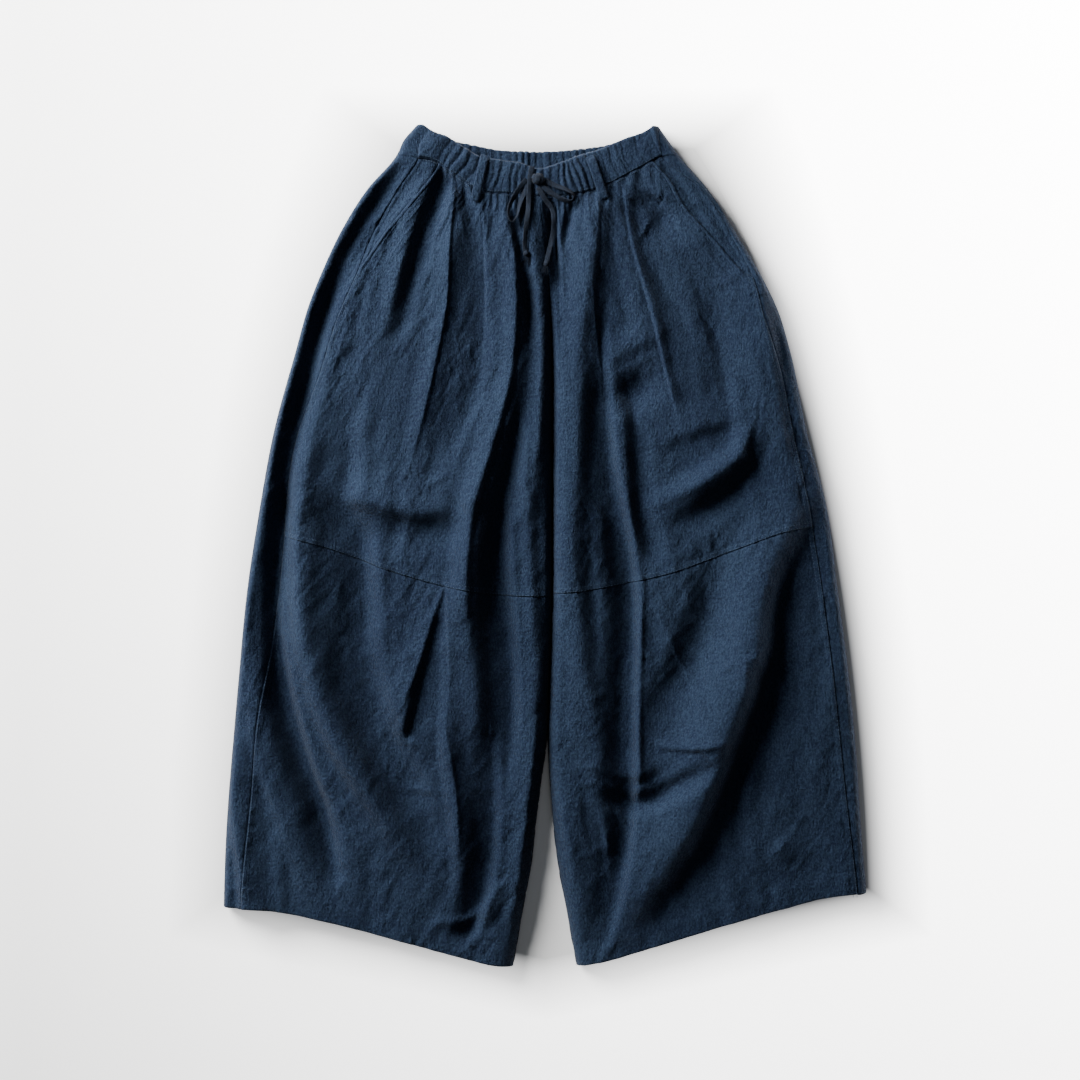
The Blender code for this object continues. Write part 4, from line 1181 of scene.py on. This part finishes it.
def sew_stitching():
    """Stitch the knee seams, side seams, pockets, hems and waist seam."""
    for side in SIDES:
        out, knee, seam = OUTWARD[side], knee_seam[side], side_seam[side]
        ends = sorted([seam(0.0) - out * 2 * MM, inner[side](-50 * MM) + out * 9 * MM])
        runs = [across_line(knee, d, *ends) for d in (1.4 * MM, KNEE_STITCH)]
        stitches(f"knee_stitching_{side}", runs)
        runs = [beside(seam, -out * d, POCKET_END - 2 * MM, -405 * MM) for d in (1.6 * MM, SIDE_STITCH)]
        stitches(f"side_stitching_{side}", runs)
        # These three runs are short ones in metres, which smoothing shrinks to a stitch each by the origin
        runs = [beside(pocket_mouth[side], -out * d, 440 * MM, POCKET_END) for d in (1.6 * MM, 6 * MM)]
        runs.append(beside(seam, out * 1.8 * MM, 441 * MM, POCKET_END))
        stitches(f"pocket_stitching_{side}", runs)
        hem_end = outline[side](hem[side](out * 0.36)) - out * 10 * MM
        ends = sorted([hem_end, inner[side](-470 * MM) + out * 6 * MM])
        stitches(f"hem_stitching_{side}", [across_line(hem[side], HEM_DEPTH, *ends)])
    runs = [across_line(waist_seam, d, -0.14, 0.13) for d in (-2.2 * MM, 2.4 * MM)]
    stitches("waist_stitching", runs, 3 * MM)


# Drawstring


def lie_on(x, y, clear):
    """A height that clears the cloth within a little way of each point."""
    reach = (-3 * MM, 0.0, 3 * MM)
    return np.max([cloth_top(x + dx, y + dy) for dx in reach for dy in reach], axis=0) + clear


TWISTS = {
    "loop_left": (10, 25, 50, 80, 60, 20, 0),
    "loop_right": (0, 15, 40, 75, 50, 20, 0),
    "tail_left": (0, 20, -10, 35, 10),
    "tail_right": (0, -15, 25, -20, 10),
}


# The turns of the bow's knot: which way each runs in degrees, how high it stands as a share, and
# how far it reaches and lies to the side in millimetres
KnotTurn = namedtuple("KnotTurn", "angle lift reach shift")
KNOT_TURNS = [
    KnotTurn(80, 1.0, 5.6, 0.0),
    KnotTurn(-28, 0.8, 6.6, 0.2),
    KnotTurn(30, 0.75, 6.2, -0.1),
    KnotTurn(-76, 0.6, 5.0, 0.1),
]
KNOT_RISE = 3.6 * MM
END_KNOT_ANGLES = (70, -55, 5)
THREADS_PER_END = 26
THREAD_POINTS = 8
LOOSE_THREAD = 0.2 * MM


def softened(values, times):
    """The values with each one drawn towards its neighbours, so many times."""
    for _ in range(times):
        middle = (values[:-2] + 2 * values[1:-1] + values[2:]) / 4
        values = np.concatenate([values[:1], middle, values[-1:]])
    return values


def tape(name, line, twist, half_width=3.0 * MM, half_thick=0.75 * MM):
    """A flat tape along a line, turned about it by the twist in radians at each point."""
    way = unit(np.gradient(line, axis=0))
    side_way = unit(np.cross(way, (0.0, 0.0, 1.0)))
    up = np.cross(side_way, way)
    across = side_way * np.cos(twist)[:, None] + up * np.sin(twist)[:, None]
    around = np.linspace(0, 2 * pi, 13)[:-1]
    flat, high = np.cos(around), np.sin(around)
    flat = half_width * np.sign(flat) * np.abs(flat) ** 0.6
    high = half_thick * np.sign(high) * np.abs(high) ** 0.6
    points, faces = swept(line, across, np.cross(across, way), list(zip(flat, high)))
    return sewn_piece(name, points, faces, finish("drawstring_tape"))


def over_and_under(name, centre, across, reach, rise, spread, count, half_width, half_thick):
    """One turn of a knot: a short tape that comes up over the centre and tucks under on both sides."""
    t = np.linspace(-spread * pi, spread * pi, count)[:, None]
    line = centre + across * np.sin(t) * reach + np.array([0, 0, 1.0]) * np.cos(t) * rise
    return tape(name, line, np.zeros(count), half_width, half_thick)


def tie_drawstring():
    """Lay both loops and both tails of the bow, then tie the knot over them."""
    knot_x, knot_y = np.array(KNOT, float) * MM
    knot_z = float(lie_on(np.array([knot_x]), np.array([knot_y]), 4 * MM)[0])
    for name, path in DRAWSTRING.items():
        flat, _ = run_along(path, 1.5 * MM)
        x, y = flat.T
        z = softened(lie_on(x, y, 1.3 * MM), 12)
        z = np.maximum(z, softened(z, 60))
        share = np.linspace(0, 1, len(x))
        twist = np.radians(np.interp(share, np.linspace(0, 1, len(TWISTS[name])), TWISTS[name]))
        line = np.stack([x, y, z + 1.9 * MM * np.abs(np.sin(twist))], -1)
        piece = tape(f"drawstring_{name}_tape", line, twist)
        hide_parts(f"drawstring_{name}")
        ends = fray(name, line) if name.startswith("tail") else []
    for k, turn in enumerate(KNOT_TURNS):
        a = np.radians(turn.angle)
        along, aside = np.array([np.cos(a), np.sin(a), 0]), np.array([-np.sin(a), np.cos(a), 0])
        centre = np.array([knot_x, knot_y, knot_z - 1 * MM]) + aside * turn.shift * MM
        part = over_and_under(
            f"drawstring_knot_turn_{k + 1}", centre, along, turn.reach * MM, KNOT_RISE * turn.lift, 0.62, 26,
            3.0 * MM, 1.0 * MM,
        )
        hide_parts("drawstring_knot")


def fray(name, line):
    """The small knot at a tail's end and the loose threads beyond it."""
    rng = np.random.default_rng(len(name))
    up = np.array([0.0, 0.0, 1.0])
    end, way = line[-1], unit(line[-1] - line[-4])
    side_way = np.array([-way[1], way[0], 0.0])
    made = []
    for k, angle in enumerate(END_KNOT_ANGLES):
        a = np.radians(angle)
        across = side_way * np.cos(a) + way * np.sin(a)
        made.append(over_and_under(
            f"drawstring_{name}_end_knot_{k + 1}", end - way * 3 * MM + up * 0.4 * MM, across,
            2.7 * MM, 1.9 * MM, 0.7, 20, 1.5 * MM, 0.7 * MM,
        ))
    around = np.linspace(0, 2 * pi, 6)[:-1]
    shape = [(LOOSE_THREAD * np.cos(a), LOOSE_THREAD * np.sin(a)) for a in around]
    t = np.linspace(0, 1, THREAD_POINTS)[:, None]
    points, faces = [], []
    for _ in range(THREADS_PER_END):
        spread_by, bend = rng.uniform(-1, 1), rng.uniform(-1, 1)
        length = rng.uniform(6, 12) * MM
        start = end + side_way * spread_by * 2.2 * MM + up * rng.uniform(-0.4, 0.6) * MM
        aside = side_way * (spread_by * 2.4 * t + bend * 1.4 * t * t) * MM
        strand = start + way * t * length + aside - up * 0.9 * MM * t
        more, more_faces = swept(strand, [side_way] * THREAD_POINTS, [up] * THREAD_POINTS, shape)
        faces += [tuple(i + len(points) for i in face) for face in more_faces]
        points += more
    threads = sewn_piece(f"drawstring_{name}_threads", points, faces, finish("drawstring_tape"))
    return made + [threads]


# Floor, light and camera


def area_light(name, place, size, power, colour):
    """A round lamp that faces the middle of the floor."""
    light = bpy.data.lights.new(name, "AREA")
    light.shape = "DISK"
    light.size = size
    light.energy = power
    light.color = colour
    made = bpy.data.objects.new(name, light)
    made.location = place
    made.rotation_euler = (-made.location).to_track_quat("-Z", "Y").to_euler()
    bpy.context.scene.collection.objects.link(made)


# Where the floor's painted glow starts: outside an oval at the sides, past the waist and past the slanting
# hems; short of these the missing glow paints a soft shadow round the garment
OVAL_MIDDLE = (5 * MM, -480.2 * MM)
OVAL_HALF = (371 * MM, 1060 * MM)
WAIST_LIMIT = 460 * MM
HEM_LIMIT = -479 * MM
HEM_SLOPE = 0.22
PAINTED_SHADOW_FADE = (-3 * MM, 70 * MM)

# The painted glow's strength from the left of the floor to the right, and from its bottom to its top
GLOW_SPAN = (-600 * MM, 600 * MM)
RIGHTWARD = (0.28, 1.72)
UPWARD = (0.55, 1.45)


def painted_floor_light(tree):
    """How bright the paper's painted glow is at each point: none near the garment, which paints a soft shadow
    round it, and more to the upper right.
    """
    x, y = split_place(tree)
    oval = tree.nodes.new("ShaderNodeCombineXYZ")
    for value, label, middle, half in zip((x, y), "XY", OVAL_MIDDLE, OVAL_HALF):
        tree.links.new(math_node(tree, "MULTIPLY_ADD", value, 1 / half, -middle / half), oval.inputs[label])
    from_middle = tree.nodes.new("ShaderNodeVectorMath")
    from_middle.operation = "LENGTH"
    tree.links.new(oval.outputs[0], from_middle.inputs[0])
    past_sides = math_node(tree, "MULTIPLY_ADD", from_middle.outputs["Value"], OVAL_HALF[0], -OVAL_HALF[0])
    past_waist = math_node(tree, "SUBTRACT", y, WAIST_LIMIT)
    hems = math_node(tree, "MULTIPLY_ADD", math_node(tree, "ABSOLUTE", x), HEM_SLOPE, HEM_LIMIT)
    past_hems = math_node(tree, "SUBTRACT", hems, y)
    past = math_node(tree, "MAXIMUM", math_node(tree, "MAXIMUM", past_sides, past_waist), past_hems)
    rightward, upward = in_range(tree, x, GLOW_SPAN, RIGHTWARD), in_range(tree, y, GLOW_SPAN, UPWARD)
    # Painted shadow: no glow at the garment's outline, rising to full over this fade
    clear = in_range(tree, past, PAINTED_SHADOW_FADE)
    return math_node(tree, "MULTIPLY", clear, math_node(tree, "MULTIPLY", rightward, upward))


def lay_floor():
    """A sheet of pale paper under the garment, with a painted glow that leaves a painted shadow round the
    garment.
    """
    s = bpy.context.scene.trousers_stage
    bpy.ops.mesh.primitive_plane_add(size=8, location=(0, 0, -0.4 * MM))
    floor = bpy.context.object
    floor.name = "floor"
    paper = bpy.data.materials.new("pale_paper")
    paper.use_nodes = True
    shader = paper.node_tree.nodes["Principled BSDF"]
    shader.inputs["Roughness"].default_value = 0.9
    shader.inputs["Specular IOR Level"].default_value = 0.1
    shader.inputs["Base Color"].default_value = (*s.floor, 1)
    # The paper's emission is painted light, left out near the garment to paint a soft shadow round it
    paper.node_tree.links.new(painted_floor_light(paper.node_tree), shader.inputs["Emission Color"])
    shader.inputs["Emission Strength"].default_value = s.glow
    floor.data.materials.append(paper)


def set_stage():
    """Lay the floor, hang both lamps and hold the camera above the garment."""
    s = bpy.context.scene.trousers_stage
    lay_floor()
    area_light("key_light", (-1.85, 1.5, 1.05), 1.6, s.key, (1.0, 0.985, 0.96))
    area_light("sky_light", (0.3, -0.2, 2.9), 3.2, s.fill, (0.94, 0.97, 1.0))
    world = bpy.data.worlds.new("studio")
    world.use_nodes = True
    world.node_tree.nodes["Background"].inputs["Color"].default_value = (0.93, 0.96, 1.0, 1)
    world.node_tree.nodes["Background"].inputs["Strength"].default_value = s.ambient
    bpy.context.scene.world = world
    camera = bpy.data.cameras.new("camera")
    camera.lens = 70
    camera.sensor_width = 36
    held = bpy.data.objects.new("camera", camera)
    held.location = (-5.75 * MM, 6.3 * MM, s.camera_height)
    bpy.context.scene.collection.objects.link(held)
    bpy.context.scene.camera = held


# Settings, operators and panel


class TrousersCloth(bpy.types.PropertyGroup):
    """The cloth and its colours"""

    cloth: bpy.props.FloatProperty(
        name="Cloth", description="How thick the linen is", default=0.9 * MM, unit="LENGTH"
    )
    # Besides real fading, the finish mixes the dye and the worn dye to paint shade into the pits of the fine
    # grain
    dye: bpy.props.FloatVectorProperty(
        name="Dye", description="Colour of the linen where the dye is full",
        default=(0.0037, 0.0094, 0.0254), subtype="COLOR",
    )
    worn: bpy.props.FloatVectorProperty(
        name="Worn dye", description="Colour of the linen where washing has paled it",
        default=(0.0124, 0.0242, 0.0472), subtype="COLOR",
    )
    tape: bpy.props.FloatVectorProperty(
        name="Tape", description="Colour of the drawstring",
        default=(0.0042, 0.0068, 0.0128), subtype="COLOR",
    )
    thread: bpy.props.FloatVectorProperty(
        name="Thread", description="Colour of the sewing thread",
        default=(0.022, 0.035, 0.058), subtype="COLOR",
    )
    thread_width: bpy.props.FloatProperty(
        name="Thread width", description="How thick the sewing thread is", default=0.6 * MM, unit="LENGTH"
    )


class TrousersStage(bpy.types.PropertyGroup):
    """The floor, the lights and the camera"""

    floor: bpy.props.FloatVectorProperty(
        name="Floor", description="Colour of the paper floor", default=(0.86, 0.87, 0.88), subtype="COLOR"
    )
    # The paper's glow is painted light, and where it stops near the garment it leaves a painted shadow
    glow: bpy.props.FloatProperty(
        name="Glow", description="How strongly the paper glows where it is clear of the garment", default=5.5
    )
    key: bpy.props.FloatProperty(
        name="Key light", description="Power of the light from the upper left", default=348.0, unit="POWER"
    )
    fill: bpy.props.FloatProperty(
        name="Sky light", description="Power of the broad light above", default=6.0, unit="POWER"
    )
    ambient: bpy.props.FloatProperty(
        name="Ambient", description="Strength of the light from all round", default=0.05
    )
    camera_height: bpy.props.FloatProperty(
        name="Camera height", description="How far above the floor the camera is", default=2.42, unit="LENGTH"
    )


class TROUSERS_OT_backs(bpy.types.Operator):
    """Sew the two back panels, which lie on the floor and come round to the side seams"""

    bl_idname = "trousers.backs"
    bl_label = "Back panels"

    def execute(self, context):
        sew_backs()
        return {"FINISHED"}


class TROUSERS_OT_fronts(bpy.types.Operator):
    """Sew the upper and lower front panels with their folds and pleats"""

    bl_idname = "trousers.fronts"
    bl_label = "Front panels"

    def execute(self, context):
        sew_fronts()
        return {"FINISHED"}


class TROUSERS_OT_pockets(bpy.types.Operator):
    """Sew the cloth that shows in the pocket mouths"""

    bl_idname = "trousers.pockets"
    bl_label = "Pockets"

    def execute(self, context):
        sew_pockets()
        return {"FINISHED"}


class TROUSERS_OT_waistband(bpy.types.Operator):
    """Gather both halves of the waistband"""

    bl_idname = "trousers.waistband"
    bl_label = "Waistband"

    def execute(self, context):
        sew_waistband()
        return {"FINISHED"}


class TROUSERS_OT_belt_loops(bpy.types.Operator):
    """Sew the belt loops over the waistband"""

    bl_idname = "trousers.belt_loops"
    bl_label = "Belt loops"

    def execute(self, context):
        sew_belt_loops()
        return {"FINISHED"}


class TROUSERS_OT_stitching(bpy.types.Operator):
    """Stitch the seams, pocket mouths and hems"""

    bl_idname = "trousers.stitching"
    bl_label = "Stitching"

    def execute(self, context):
        sew_stitching()
        return {"FINISHED"}


class TROUSERS_OT_drawstring(bpy.types.Operator):
    """Tie the drawstring in its bow, with knotted and frayed ends"""

    bl_idname = "trousers.drawstring"
    bl_label = "Drawstring"

    def execute(self, context):
        tie_drawstring()
        return {"FINISHED"}


class TROUSERS_OT_stage(bpy.types.Operator):
    """Lay the floor, hang the lights and set the camera straight above"""

    bl_idname = "trousers.stage"
    bl_label = "Floor, light and camera"

    def execute(self, context):
        set_stage()
        return {"FINISHED"}


STEPS = (
    TROUSERS_OT_stage,
    TROUSERS_OT_drawstring,
    TROUSERS_OT_backs,
    TROUSERS_OT_fronts,
    TROUSERS_OT_pockets,
    TROUSERS_OT_waistband,
    TROUSERS_OT_belt_loops,
    TROUSERS_OT_stitching,
)


class TROUSERS_PT_panel(bpy.types.Panel):
    """The trousers' pieces and sizes"""

    bl_idname = "TROUSERS_PT_panel"
    bl_label = "Trousers"
    bl_space_type = "VIEW_3D"
    bl_region_type = "UI"
    bl_category = "Trousers"

    def draw(self, context):
        for settings in (context.scene.trousers, context.scene.trousers_stage):
            for name in settings.__annotations__:
                self.layout.prop(settings, name)
        for step in STEPS:
            self.layout.operator(step.bl_idname)


CLASSES = (TrousersCloth, TrousersStage, *STEPS, TROUSERS_PT_panel)


def register():
    """Make the settings, operators and panel known to Blender."""
    for cls in CLASSES:
        bpy.utils.register_class(cls)
    bpy.types.Scene.trousers = bpy.props.PointerProperty(type=TrousersCloth)
    bpy.types.Scene.trousers_stage = bpy.props.PointerProperty(type=TrousersStage)


def unregister():
    """Take them out again."""
    del bpy.types.Scene.trousers
    del bpy.types.Scene.trousers_stage
    for cls in reversed(CLASSES):
        bpy.utils.unregister_class(cls)


def main():
    """Make the whole garment on its floor."""
    register()
    for step in STEPS:
        group, name = step.bl_idname.split(".")
        getattr(getattr(bpy.ops, group), name)()


if __name__ == "__main__":
    main()
